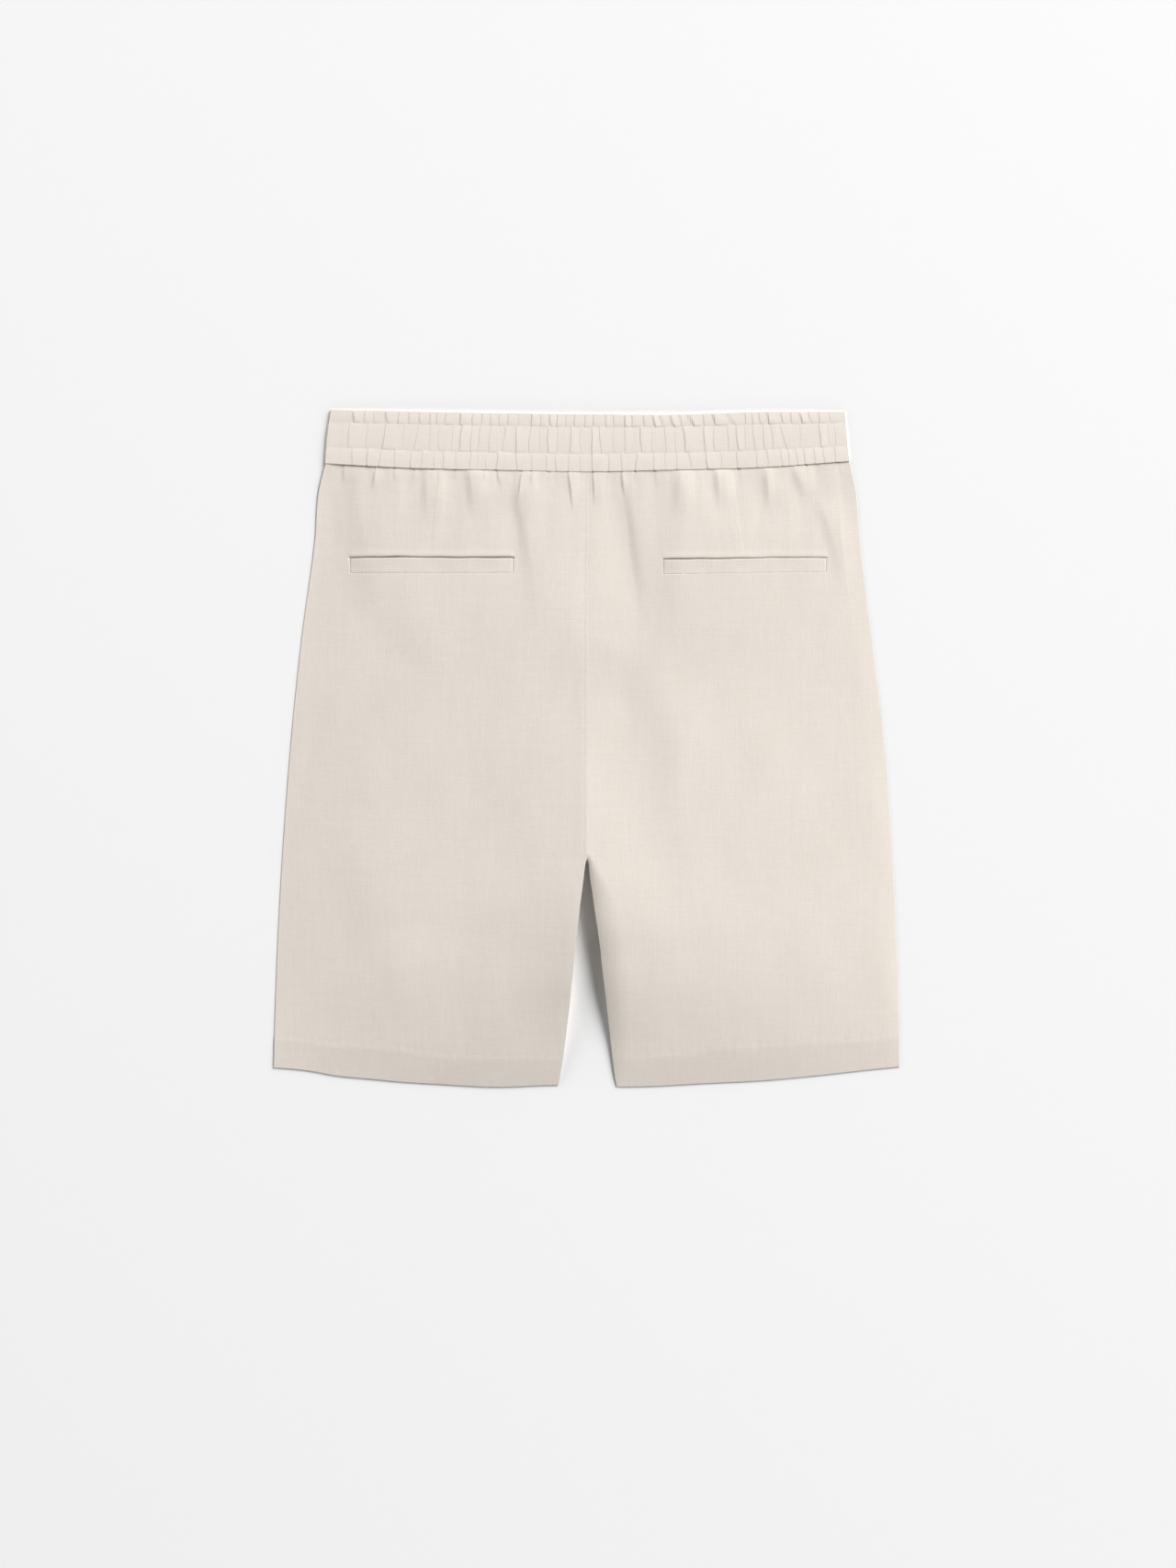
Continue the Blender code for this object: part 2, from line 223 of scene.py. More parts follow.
FRONT_FOLDS = table(
    FOLD,
    (-190, 244, -188, 206, 3, 3, -0.35, 1),
    (-150, 243, -140, 180, 4, 5, -0.39, 1, 3),
    (-108, 243, -106, 214, 2.4, 3, -0.35, 1),
    (-66, 242, -50, 150, 5, 5, -0.39, 1, 3),
    (-28, 242, -24, 206, 2.4, 3, -0.35, 1),
    (26, 242, 30, 200, 2.4, 3.4, -0.35, 1),
    (58, 242, 74, 160, 4.4, 5, -0.39, 1, 4),
    (98, 243, 96, 212, 2.6, 3, -0.31, 1),
    (136, 244, 140, 190, 4, 4, -0.35, 1),
    (178, 246, 184, 210, 2.6, 3.4, -0.35, 1),
    (-206, 120, -120, 20, 12, 14, -0.52, 0, -8),
    (60, 60, 110, -60, 13, 14, -0.52, 0, 8),
    (-90, -120, -70, -240, 14, 14, -0.45, 0),
    (170, -40, 200, -200, 16, 16, -0.45, 0),
)

# Waves all over a panel: length, direction and phase of each
WAVES = ((71, 0.2, 0), (113, 1.9, 1.3), (53, 0.5, 4), (37, 2.9, 2.2))
WAVE_RISE = 0.05 / 71  # height of a wave by its length
# Waves below the waistband: length, lean, phase and how far down each reaches
RIPPLES = ((7.3, 0.08, 0.4, 14), (11.9, -0.12, 2.2, 22), (19, 0.1, 4.1, 40), (31, -0.2, 0.9, 60))
RIPPLE_RISE = 0.0045
SIDE_CALM, INSEAM_CALM = 16.0, 10.0  # folds run out toward a leg's edges over these
PIT_DEPTH = 0.5  # of the dent where a tuck goes in under the waistband
PINCH, PINCH_REACH = 0.8, 4.0  # share that the waist's seam takes from the folds, and its reach
WAIST_DITCH = 0.35  # the backs dip under the waistband by this

# Gathers of the waistband: where each meets the top and the foot of its channel, and its depth
Gather = namedtuple("Gather", "top foot depth")


def gather_table(strong, plain, soft):
    """A channel's gathers from left to right, out of those of each depth."""
    depths = ((1.0, strong), (0.6, plain), (0.35, soft))
    return sorted(Gather(*ends, depth) for depth, places in depths for ends in places)


TOP_GATHERS = gather_table(
    strong=(
        (-207.6, -205.2), (-178.8, -175.6), (-111.6, -111.4), (-48.6, -48.4), (-32.8, -31.6),
        (34, 34.2), (57.6, 61.2), (73.2, 77.2), (89.2, 95.2), (111.2, 114), (159.6, 161.4),
        (188.4, 190.8),
    ),
    plain=(
        (-196.8, -196.4), (-166.8, -166), (-157.2, -157), (-148.8, -146.8), (-138.8, -138.4),
        (-132.4, -132.4), (-124.8, -124.8), (-100.8, -100.8), (-92.4, -92), (-84.8, -84.6),
        (-77.2, -77), (-69.2, -69.4), (-40.4, -40.4), (-26, -26), (-10.8, -10.6), (-1.2, -1.4),
        (6, 6), (16.4, 18), (23.6, 24), (40, 40.4), (50, 51.2), (64.4, 67.4), (82, 84.4),
        (103, 104), (123.6, 130.8), (140.4, 140.8), (146, 146.8), (152, 153.6), (172, 173),
        (180.4, 181.2), (195.6, 198.8), (205.2, 206),
    ),
    soft=(
        (-188.4, -188), (-59.6, -60), (-18, -18.4), (214.8, 215.2),
    ),
)
MIDDLE_GATHERS = gather_table(
    strong=(
        (-176.4, -178.2), (-108.8, -111.2), (-61.2, -61.4), (-33.4, -33.4), (-12.6, -14.2),
        (5.2, 5.2), (47.4, 48.4), (85.2, 87.2), (103.6, 103.6), (131.6, 133), (205.2, 205.6),
    ),
    plain=(
        (-208.4, -208.6), (-147.6, -150), (-100.8, -101), (-92.8, -95), (-83.6, -85.2),
        (-70.8, -73), (-48.6, -50.2), (11.6, 13.2), (34, 34), (69.2, 70), (111.6, 112),
        (124.4, 124.6), (146.8, 147.2), (155.6, 156), (162.8, 163.8), (170.8, 175.2),
    ),
    soft=(
        (-192.4, -192.4), (-160.4, -160.6), (-136.8, -137), (-129.2, -129.2), (-117.2, -117.4),
        (-40.4, -40.6), (-25.2, -25.2), (-5.2, -5.2), (23.6, 24), (57.6, 58), (78, 78.4),
        (139, 140), (188, 188), (213.2, 213), (218.6, 218.6),
    ),
)
LOWER_GATHERS = gather_table(
    strong=(
        (-190.6, -191.2), (-76.8, -78.2), (5.2, 5.2), (44.6, 42.6), (104, 105.2),
    ),
    plain=(
        (-204.4, -204), (-178.8, -181.2), (-166.8, -167.2), (-152.4, -153), (-142, -144.6),
        (-124.4, -124.6), (-100.4, -101.4), (-61.2, -60.4), (-34.8, -34.6), (-26.8, -26.6),
        (-15.6, -15.4), (19.6, 19.8), (30.8, 30.6), (58.8, 58.6), (78.8, 79), (90, 91.4),
        (131.2, 131.4), (148.4, 148.8), (158, 158.2), (170, 170.4), (176.4, 176.8), (183.2, 183.8),
        (190, 190.6), (198.8, 199.2), (206.8, 207.2), (217.2, 217.4),
    ),
    soft=(
        (-132.4, -132.6), (-113.2, -113.4), (-94.4, -94.8), (-87.6, -87.6), (-47.6, -47.2),
        (-5.6, -5.4), (68.6, 68.8), (117.6, 118),
    ),
)
GATHER_WIDTH = 0.5

# Channels of the waistband: where each starts and ends as a share of the band's depth
Channel = namedtuple("Channel", "start end puff rise gathers")
LOWER_STITCH = 0.305
UPPER_STITCH = 0.770
CHANNELS = (
    Channel(0.0, LOWER_STITCH, 0.12, 0.42, LOWER_GATHERS),
    Channel(LOWER_STITCH, UPPER_STITCH, 0.14, 0.42, MIDDLE_GATHERS),
    Channel(UPPER_STITCH, 1.0, 0.1, 0.62, TOP_GATHERS),
)

# The waistband's loop
BAND_DEPTH = 50.0
BAND_FACE = 1.4  # from the middle of the loop to its outer face
BAND_END_FACE = 0.8  # the same at the loop's ends, where it is pressed flat
BAND_END_REACH = 180.0
BAND_WALL_IN = 0.4  # from the middle to its inner face
BAND_OVER_FLOOR = 0.3
BAND_END_ROUND = 0.5
BAND_EDGE_ROUND = 0.2
NOTCH = 0.7  # depth and width of the notches in the band's edges
BAND_ROWS_APART = 2.6
BACK_COLUMNS, FRONT_COLUMNS, END_COLUMNS = 2100, 340, 13  # of the loop's points

# Pocket welts: plan of the ends, mouth and foot, how far the mouth gapes, and the depths of the
# window and of the groove round it. inner is the end next to the seat seam.
Welt = namedtuple("Welt", (
    "inner_x outer_x inner_mouth outer_mouth inner_foot outer_foot inner_gape outer_gape "
    "window groove"
))
WELTS = {
    "left": Welt(-64.2, -205.8, 166.4, 167.0, 153.0, 153.2, 1.2, 1.35, 0.2, 0.24),
    "right": Welt(66.9, 208.2, 164.8, 167.0, 151.6, 154.0, 0.9, 0.5, 0.2, 0.14),
}
MOUTH_DEPTH = 1.3
MOUTH_LIP = 0.2  # the cloth over the mouth stands up by this
WELT_FACE, WELT_BACK = 0.12, 0.06  # height of a welt's edges and its underside in the window
WELT_RISE, WELT_PUFF, WELT_RIPPLE = 0.08, 0.22, 0.06  # at its foot, toward its fold, and along it
WELT_ROUND, WELT_FOLD_ROUND = 0.35, 0.8
WELT_GAP = 0.9  # from a welt's fold to the mouth
Dart = namedtuple("Dart", "head_x head_y foot_x foot_y")
DARTS = {"left": Dart(-129.0, 241.0, -136.8, 168.0), "right": Dart(126.8, 241.0, 137.0, 168.4)}

# Steps and dips of the seams
ALLOWANCE = 0.12  # of the seat seam's and the darts' pressed cloth
HEM_STEP = 0.17
SEAT_DIP, DART_DIP = 0.05, 0.08  # along the seams' own lines
SEAT_STITCH_DIP, HEM_STITCH_DIP, BAND_STITCH_DIP = 0.06, 0.08, 0.07
FRONT_SEAM_DIP, FRONT_STITCH_DIP = 0.5, 0.2
SEAT_PUCKER, HEM_PUCKER = 0.03, 0.04
STITCH_WIDTH = 0.9

# Stitching
SEAT_STITCH = 3.4  # from the seat seam to its row
DART_TICK = 3.6  # the darts are tacked down by short stitches across them
DART_PITCH = 2.4
DART_CLEAR = 12.0  # the ticks end this far over the dart's foot
TACK = ((-4.4, -90.8), (7.6, -92.4))  # a bar of stitches over the fork
TACK_PITCH = 1.3
SUNK = 0.25  # share of the thread's width that lies in the cloth

# Points of the panels
PANEL_WIDTH = 256.0
FINE_STEP = 0.3
FRONT_STEP = 2.6
GATHERS_END = 130.0  # rows are close together down to this level
POCKET_LEVELS = ((164.6, 168.8), (150.8, 155.2))  # rows are finest at the mouth and the foot


# Reading the tables


def smooth(rows, places, column):
    """Read a column of a table at any places, on a smooth curve through its rows."""
    rows = sorted(rows, key=lambda row: row.at)
    at = np.array([row.at for row in rows], float)
    value = np.array([getattr(row, column) for row in rows], float)
    slope = np.gradient(value, at)
    places = np.clip(np.asarray(places, float), at[0], at[-1])
    index = np.clip(np.searchsorted(at, places) - 1, 0, len(at) - 2)
    span = at[index + 1] - at[index]
    t = (places - at[index]) / span
    start, end = value[index], value[index + 1]
    leave, reach = slope[index] * span, slope[index + 1] * span
    bend = (2 * start - 2 * end + leave + reach) * t + (3 * end - 3 * start - 2 * leave - reach)
    return start + t * (leave + t * bend)


def mix(start, end, share):
    """Start at a share of 0, end at 1."""
    return start + (end - start) * share


def share_of(value, start, end):
    """Straight step from 0 at start to 1 at end."""
    return np.clip((np.asarray(value, float) - start) / (end - start), 0.0, 1.0)


def ramp(value, start, end):
    """Soft step from 0 at start to 1 at end."""
    t = share_of(value, start, end)
    return t * t * (3 - 2 * t)


def ease(distance, reach, power=2):
    """From 0 at an edge to 1 at reach from it, steepest at the edge."""
    return 1 - (1 - share_of(distance, 0, reach)) ** power


def mirrored(edge, middle, reach=1.0):
    """Places over a stretch: those beside its start, the middle's, and the start's mirrored."""
    edge = np.array(edge)
    return np.concatenate([edge, middle, reach - edge[::-1]])


def bell(offset, width):
    """1 at no offset, gone at twice the width."""
    return np.exp(-((offset / width) ** 2))


def inner_x(side, y):
    """Edge of a panel next to the other leg."""
    y = np.asarray(y, float)
    return np.where(y >= FORK_Y, smooth(SEAT_SEAM, y, side), smooth(INSEAM, y, side))


def seat_line(y):
    """The seat seam, between the two backs."""
    return mix(inner_x("left", y), inner_x("right", y), 0.5)


def fold_heights(folds, x, y):
    """Sum of the folds' ridges and troughs at the points."""
    total = np.zeros_like(x)
    for fold in folds:
        run_x, run_y = fold.foot_x - fold.head_x, fold.foot_y - fold.head_y
        length = np.hypot(run_x, run_y)
        along = ((x - fold.head_x) * run_x + (y - fold.head_y) * run_y) / length**2
        off = -((x - fold.head_x) * run_y - (y - fold.head_y) * run_x) / length
        inside = np.clip(along, 0.0, 1.0)
        off = off - fold.bow * 4 * inside * (1 - inside)
        width = np.where(off < 0, fold.left, fold.right) * (1 + FOLD_WIDENS * inside)
        fade = mix(fold.start, 1.0, ramp(along, 0.0, FOLD_FULL)) * (1 - ramp(along, FOLD_FADES, 1.0))
        before = 1.0 if fold.start > 0 else ramp(along, -0.05, 0.0)
        if fold.left < TUCK_WIDTH:
            across = ramp(off, -fold.left, fold.left) * np.exp(-np.maximum(off, 0) / fold.right)
        else:
            across = bell(off, width)
        total += fold.height * fade * before * across
    return total


def unevenness(x, y):
    """Slight unevenness of a laid panel."""
    total = np.zeros_like(x)
    for length, turn, phase in WAVES:
        way = x * np.cos(turn) + y * np.sin(turn)
        total += np.sin(2 * pi * way / length + phase) * length * WAVE_RISE
    return total


def below_waist(x, y):
    """How far a point is below the waistband's lower edge."""
    return np.maximum(smooth(WAIST, x, "lower") - y, 0.0)


def ripples(x, y):
    """Small uneven waves that the gathered waist leaves in the cloth below it."""
    below = below_waist(x, y)
    total = np.zeros_like(x)
    for length, lean, phase, reach in RIPPLES:
        wave = np.sin(2 * pi * (x + lean * y) / length + phase + 1.4 * np.sin(x / 47.0 + phase))
        total += wave * np.exp(-below / reach) * length * RIPPLE_RISE
    return total


def tuck_pits(x, below):
    """Small dents where the tucks go in under the waistband."""
    heads = [fold.head_x for fold in BACK_FOLDS if fold.left < TUCK_WIDTH]
    return PIT_DEPTH * sum(bell(x - head_x, 1.1) for head_x in heads) * bell(below - 0.6, 1.3)


# The panels' form


def panel_plan(side, levels, shares):
    """Plan points of a panel: rows by level from the waist down, columns from seat to side."""
    waist_share = share_of(levels, WAIST_REACH, WAIST_LEVEL)
    hem_share = share_of(levels, FORK_Y, HEM_REACH)

    def bent(level, waist, hem, x):
        lift = waist * (smooth(WAIST, x, "lower") - WAIST_LEVEL)
        return level + lift + hem * (smooth(HEM, x, "edge") - HEM_LEVEL)

    inner_y = bent(levels, waist_share, hem_share, inner_x(side, levels))
    outer_y = bent(levels, waist_share, hem_share, smooth(SIDE_SEAM, levels, side))
    start = inner_x(side, inner_y)[:, None]
    end = smooth(SIDE_SEAM, outer_y, side)[:, None]
    x = mix(start, end, shares[None, :])
    y = bent(levels[:, None], waist_share[:, None], hem_share[:, None], x)
    return x, y


def edge_distances(side, x, y):
    """Distance of each point from its side seam, and from its inseam or the fork."""
    from_side = np.abs(smooth(SIDE_SEAM, y, side) - x)
    from_inner = np.abs(x - inner_x(side, y))
    return from_side, from_inner, np.hypot(from_inner, 3.0 * np.maximum(y - FORK_Y, 0.0))


def roll(distance, reach):
    """Quarter round of a rolled edge."""
    return np.sqrt(ease(distance, reach))


def welt_lines(side, along):
    """Foot of a pocket's window, and its mouth, which wanders a little off a straight line."""
    welt = WELTS[side]
    foot = mix(welt.inner_foot, welt.outer_foot, along)
    mouth = mix(welt.inner_mouth, welt.outer_mouth, along)
    return foot, mouth + 0.2 * np.sin(along * 11.0) + 0.12 * np.sin(along * 29.0 + 1.0)


def welt_relief(side, x, y):
    """The pocket's window sunk in the panel, the grooves round it, and its mouth along the top."""
    welt = WELTS[side]
    along = (x - welt.inner_x) / (welt.outer_x - welt.inner_x)
    foot, mouth = welt_lines(side, along)
    length = abs(welt.outer_x - welt.inner_x)
    beyond_end = np.maximum(-along, along - 1) * length
    inside_ends = ramp(-beyond_end, -0.5, 0.3)
    inside_foot = ramp(y - foot, -0.5, 0.3)
    inside_mouth = ramp(mouth - y, -0.2, 0.5)
    window = -welt.window * inside_ends * inside_foot * inside_mouth
    grooves = -welt.groove * bell(beyond_end, 0.5) * inside_foot * inside_mouth
    grooves -= 0.8 * welt.groove * bell(y - foot - 0.2, 0.6) * inside_ends
    near_mouth = ramp(-beyond_end, -2.0, 1.0)
    gape = mix(welt.inner_gape, welt.outer_gape, ramp(along, 0.2, 0.75))
    gape = gape * (1 + 0.2 * np.sin(along * 19.0) + 0.3 * bell(along - 0.52, 0.05))
    slit = -MOUTH_DEPTH * gape * bell(y - mouth + 0.7, 0.5 + 0.25 * gape) * near_mouth
    lip = MOUTH_LIP * bell(y - mouth - 2.2, 2.6) * near_mouth
    return window + grooves + slit + lip


def seat_relief(x, y):
    """Allowance pressed toward the left under a row of stitching, and the line of the seam."""
    off = x - seat_line(y)
    allowance = ALLOWANCE * ramp(off, -14.0, -4.0) * (1 - ramp(off, -1.0, 1.5))
    line_dip = -SEAT_DIP * bell(off - 0.1, 0.7)
    stitched = -SEAT_STITCH_DIP * bell(off + SEAT_STITCH, STITCH_WIDTH)
    pucker = SEAT_PUCKER * np.sin(y * 0.93) * np.sin(y * 0.21) * bell(off + 3.0, 5.0)
    return above_fork(y) * (allowance + line_dip + stitched + pucker)


def dart_relief(side, x, y):
    """Line of the dart from the waistband to the welt, its fold pressed toward the seat."""
    dart = DARTS[side]
    along = (y - dart.head_y) / (dart.foot_y - dart.head_y)
    line = mix(dart.head_x, dart.foot_x, along)
    toward = 1.0 if side == "left" else -1.0
    off = (x - line) * toward
    inside = ramp(along, -0.05, 0.0) * (1 - ramp(along, 0.94, 1.0))
    taper = 1 - 0.4 * np.clip(along, 0, 1)
    fold = ALLOWANCE * ramp(off, -0.8, 0.8) * (1 - ramp(off, 5.0, 12.0))
    ditch = -DART_DIP * bell(off, 0.8)
    return inside * taper * (fold + ditch)


def hem_height(x, y):
    """How far a point is above its leg's lower edge."""
    return y - smooth(HEM, x, "edge")


def above_hem_stitch(side, x, y):
    """How far a point is above its leg's row of hem stitching."""
    return hem_height(x, y) - smooth(TURNUP, np.abs(x), side)


def hem_relief(side, x, y):
    """Turned-up cloth under the leg's end: a low step at its top, drawn down by the stitching."""
    above = above_hem_stitch(side, x, y)
    turned = HEM_STEP * (1 - ramp(above, 0.3, 2.2))
    stitched = -HEM_STITCH_DIP * bell(above, STITCH_WIDTH)
    pucker = HEM_PUCKER * np.sin(x * 0.71) * np.sin(x * 0.13 + 1) * bell(above - 1.5, 4.0)
    return turned + stitched + pucker


def above_fork(y):
    """1 along the seat seam and 0 between the legs."""
    return ramp(y, FORK_Y - 2, FORK_Y + 8)


def lay_height(side, x, y):
    """Outer face of a back panel without its folds and seams."""
    from_side, from_inner, _ = edge_distances(side, x, y)
    dome = smooth(LOFT, y, "middle") * ease(from_side, HALF_WIDTH)
    crest = smooth(CROTCH, y, f"lift_{side}") * (1 - ease(from_inner, CREST_REACH[side], 1.5))
    if side == "left":
        crest = crest + smooth(CROTCH, y, "curl") * bell(from_inner, CURL_REACH)
    lip = smooth(LIP, y, side) * ease(from_side, LIP_REACH[side])
    lip = lip * (1 - share_of(from_side, 0, LIP_END * HALF_WIDTH))
    near_waist = np.exp(-below_waist(x, y) / WAIST_REACH_Z)
    return mix(SIDE_EDGE_Z + dome + crest, band_top(x) - waist_step(x), near_waist) + lip


def edge_drop(side, y):
    """How far a leg's inner edge drops from its crest."""
    return smooth(CROTCH, y, "drop") if side == "right" else np.zeros_like(y)


def waist_step(x):
    """From the band's face down to the panels under its edge."""
    return mix(WAIST_STEP["left"], WAIST_STEP["right"], ramp(x, -70.0, 120.0))


def sunk_to_hem(side, x, y, top):
    """Bring the lay's height down to the hem's."""
    return mix(HEM_Z[side], top, ease(hem_height(x, y), HEM_SLOPE[side], HEM_POWER))


def back_height(side, x, y):
    """Outer face of a back panel."""
    from_side, from_inner, from_fork = edge_distances(side, x, y)
    from_inseam = from_inner + np.maximum(y - FORK_Y, 0)
    soft = share_of(from_side, 0, SIDE_CALM) * share_of(from_inseam, 0, INSEAM_CALM)
    below = below_waist(x, y)
    pinched = 1 - PINCH * np.exp(-below / PINCH_REACH)
    folds = pinched * (fold_heights(BACK_FOLDS, x, y) + ripples(x, y)) + unevenness(x, y)
    folds = folds - tuck_pits(x, below)
    top = sunk_to_hem(side, x, y, lay_height(side, x, y) + soft * folds)
    relief = welt_relief(side, x, y) + seat_relief(x, y) + dart_relief(side, x, y)
    ditch = -WAIST_DITCH * ramp(y - smooth(WAIST, x, "lower"), -0.4, 0.4)
    top = top + relief + hem_relief(side, x, y) + ditch
    inner = top - edge_drop(side, y) * (1 - ease(from_fork, smooth(CROTCH, y, "reach"), INNER_POWER))
    return mix(SIDE_SEAM_Z, np.maximum(inner, SIDE_SEAM_Z), roll(from_side, SIDE_ROLL))


def front_height(side, x, y):
    """Outer face of a front panel, which faces down: a fold's trough is away from the surface."""
    from_side, from_inner, from_fork = edge_distances(side, x, y)
    folds = fold_heights(FRONT_FOLDS, x, y)
    seam = FRONT_SEAM_DIP * bell(x - seat_line(y), STITCH_WIDTH) * above_fork(y)
    stitched = FRONT_STITCH_DIP * bell(above_hem_stitch(side, x, y), STITCH_WIDTH)
    bottom = FRONT_Z + np.clip(-folds + seam + stitched, 0.0, FRONT_DEEPEST)
    edge_x = inner_x(side, y)
    edge_z = sunk_to_hem(side, edge_x, y, lay_height(side, edge_x, y))
    edge_z = edge_z - edge_drop(side, y) - INSEAM_WALL
    inner = mix(edge_z, bottom, ease(from_fork, FRONT_LIFT_REACH, INNER_POWER))
    return mix(SIDE_SEAM_Z - SIDE_WALL, inner, roll(from_side, 1.6))


def panel_levels(step_top, step_leg):
    """Row levels of a panel, closer together in the gathers and at the hem."""
    top = np.arange(WAIST_LEVEL + 0.9, GATHERS_END, -step_top)
    leg = np.arange(top[-1] - step_top, HEM_LEVEL + HEM_DEPTH + 3, -step_leg)
    edge = HEM_LEVEL + HEM_TURN
    hem = np.linspace(leg[-1] - step_leg, edge + 0.35, 20)
    return np.concatenate([top, leg, hem, [edge + 0.05, edge]])


def refined(places, stretches):
    """Places along a panel, with those in each stretch replaced by ones a fine step apart."""
    for low, high in stretches:
        places = places[(places < low - FINE_STEP) | (places > high + FINE_STEP)]
        places = np.concatenate([places, np.arange(low, high, FINE_STEP)])
    return np.unique(places)[:: -1 if places[0] > places[1] else 1]


def panel_places(step):
    """Columns across a panel, closer together round its two edges."""
    turn = 1 - np.cos(np.linspace(0, pi / 2, 6))
    inner = np.concatenate([3.0 * turn, np.arange(3.6, 14.0, 0.8)])
    outer = np.concatenate([np.arange(9.0, 1.0, -1.2), [0.45, 0.26], SIDE_ROLL * turn[::-2]])
    middle = np.linspace(14.0, PANEL_WIDTH - 10.0, int((PANEL_WIDTH - 24.0) / step))
    return np.concatenate([inner, middle[:-1], PANEL_WIDTH - outer])


def pocket_places(places, side):
    """Columns across a panel with finer ones at the pocket's ends."""
    welt = WELTS[side]
    level = (welt.inner_mouth + welt.inner_foot) / 2
    start, end = inner_x(side, level), smooth(SIDE_SEAM, level, side)
    ends = [(x - start) / (end - start) * PANEL_WIDTH for x in (welt.inner_x, welt.outer_x)]
    return refined(places, [(end - 1.2, end + 1.2) for end in ends])


def turned_hem(side, x, y, z, up, faced):
    """A panel with rows that carry its lower edge round and up inside the leg, short of the panel
    that it faces. up is 1 on a front."""
    angle = np.linspace(0, pi, 7)[1:, None]
    inside_y = y[-1] + (HEM_DEPTH - 1.5) * np.array([[0.1, 0.2, 0.35, 0.5, 0.75, 1.0]]).T
    columns = zip(inside_y.T, y.T[:, ::-1], z.T[:, ::-1])
    inside_z = np.array([np.interp(*column) for column in columns]).T
    half_way = (inside_z + faced(side, x[-1] + np.zeros_like(inside_y), inside_y)) / 2
    gap = np.minimum(2 * HEM_TURN, np.abs(half_way - inside_z) - 0.02)
    turned_y = np.vstack([y[-1] - HEM_TURN * np.sin(angle), inside_y])
    turned_z = np.vstack([z[-1] + up * HEM_TURN * (1 - np.cos(angle)), inside_z + up * gap])
    turned_x = np.repeat(x[-1:], len(turned_y), axis=0)
    turned_z = np.maximum(turned_z, LOWEST)
    return np.vstack([x, turned_x]), np.vstack([y, turned_y]), np.vstack([z, turned_z])


# The waistband's form


def gather_lines(gathers, x, share):
    """How far each point is to the right of each gather, and the gathers' depths and spacing."""
    number = np.arange(len(gathers))
    line = np.array([mix(g.foot, g.top, share) for g in gathers])
    line = line - 0.3 + 0.35 * np.sin(2 * pi * share + number * 2.4)
    depth = np.array([g.depth for g in gathers])
    depth = depth * (1 - 0.4 * np.abs(share - 0.5 - 0.5 * np.sin(number * 2.7)))
    gap = np.maximum(np.diff(line, append=line[-1] + 10.0), 3.0)
    return x[:, None] - line[None, :], depth, gap


def gather_heights(gathers, x, share):
    """Pleats of a channel's gathers: each rises at once and runs out by the next one."""
    off, depth, gap = gather_lines(gathers, x, share)
    rise = ramp(off, -GATHER_WIDTH, GATHER_WIDTH)
    return (depth * rise * np.clip(1 - off / gap, 0.0, 1.0)).sum(1)


def gather_notches(gathers, x, share):
    """Notches that the gathers leave in the band's edges."""
    off, depth, _ = gather_lines(gathers, x, share)
    return (depth * bell(off, NOTCH)).sum(1)


def band_height(x, share):
    """Relief of the waistband's outer face, at a share of its depth."""
    for channel in CHANNELS:
        if share <= channel.end:
            break
    t = (share - channel.start) / (channel.end - channel.start)
    arch = np.sin(pi * t)
    gathers = channel.rise * gather_heights(channel.gathers, x, t)
    return channel.puff * arch + gathers * (0.6 + 0.4 * arch**0.5)


def band_section():
    """Shares of the band's depth for the outer face, closer together at edges and stitch rows."""
    middle = np.arange(3.4, BAND_DEPTH - 3.0, BAND_ROWS_APART)
    marks = mirrored([0.0, 0.04, 0.12, 0.2, 0.32, 1.4], middle, BAND_DEPTH)
    rows = np.array([LOWER_STITCH, UPPER_STITCH]) * BAND_DEPTH
    for row in rows:
        marks = marks[np.abs(marks - row) > 0.7]
    return np.unique(np.concatenate([marks, rows, rows - 0.6, rows + 0.6])) / BAND_DEPTH


def band_face(x):
    """Half the loop's thickness along the waistband."""
    from_end = np.minimum(x - BAND_LEFT, BAND_RIGHT - x)
    return mix(BAND_END_FACE, BAND_FACE, ease(from_end, BAND_END_REACH))


def band_middle(x):
    """Height of the loop's middle over the floor."""
    return band_face(x) + BAND_OVER_FLOOR


def band_top(x):
    """Height of the waistband's outer face over the floor."""
    return band_middle(x) + band_face(x)


def band_row(x, share, facing):
    """Level and height over the loop's middle of a row of the waistband. facing is 1 on the back."""
    lower, top = smooth(WAIST, x, "lower"), smooth(WAIST, x, "top")
    edge = roll(share, BAND_EDGE_ROUND / BAND_DEPTH) * roll(1 - share, BAND_EDGE_ROUND / BAND_DEPTH)
    rows = (LOWER_STITCH, UPPER_STITCH)
    stitched = -BAND_STITCH_DIP * sum(bell((share - row) * BAND_DEPTH, 0.8) for row in rows)
    face = band_face(x) + stitched
    front = np.minimum(face + band_height(3.0 - x * 0.985, share), band_middle(x) - FRONT_Z)
    back = face + band_height(x, share)
    height = BAND_WALL_IN + edge * (mix(front, back, facing) - BAND_WALL_IN)
    scallop = -NOTCH * ramp(share, 0.85, 1.0) * gather_notches(TOP_GATHERS, x, 0.8)
    scallop += NOTCH * (1 - ramp(share, 0.0, 0.1)) * gather_notches(LOWER_GATHERS, x, 0.1)
    return mix(lower, top, share) + scallop, height


def band_place(x, y):
    """Move places along the waistband to between its ends at their level."""
    share = (x - BAND_LEFT) / (BAND_RIGHT - BAND_LEFT)
    return mix(smooth(BAND_ENDS, y, "left"), smooth(BAND_ENDS, y, "right"), share)


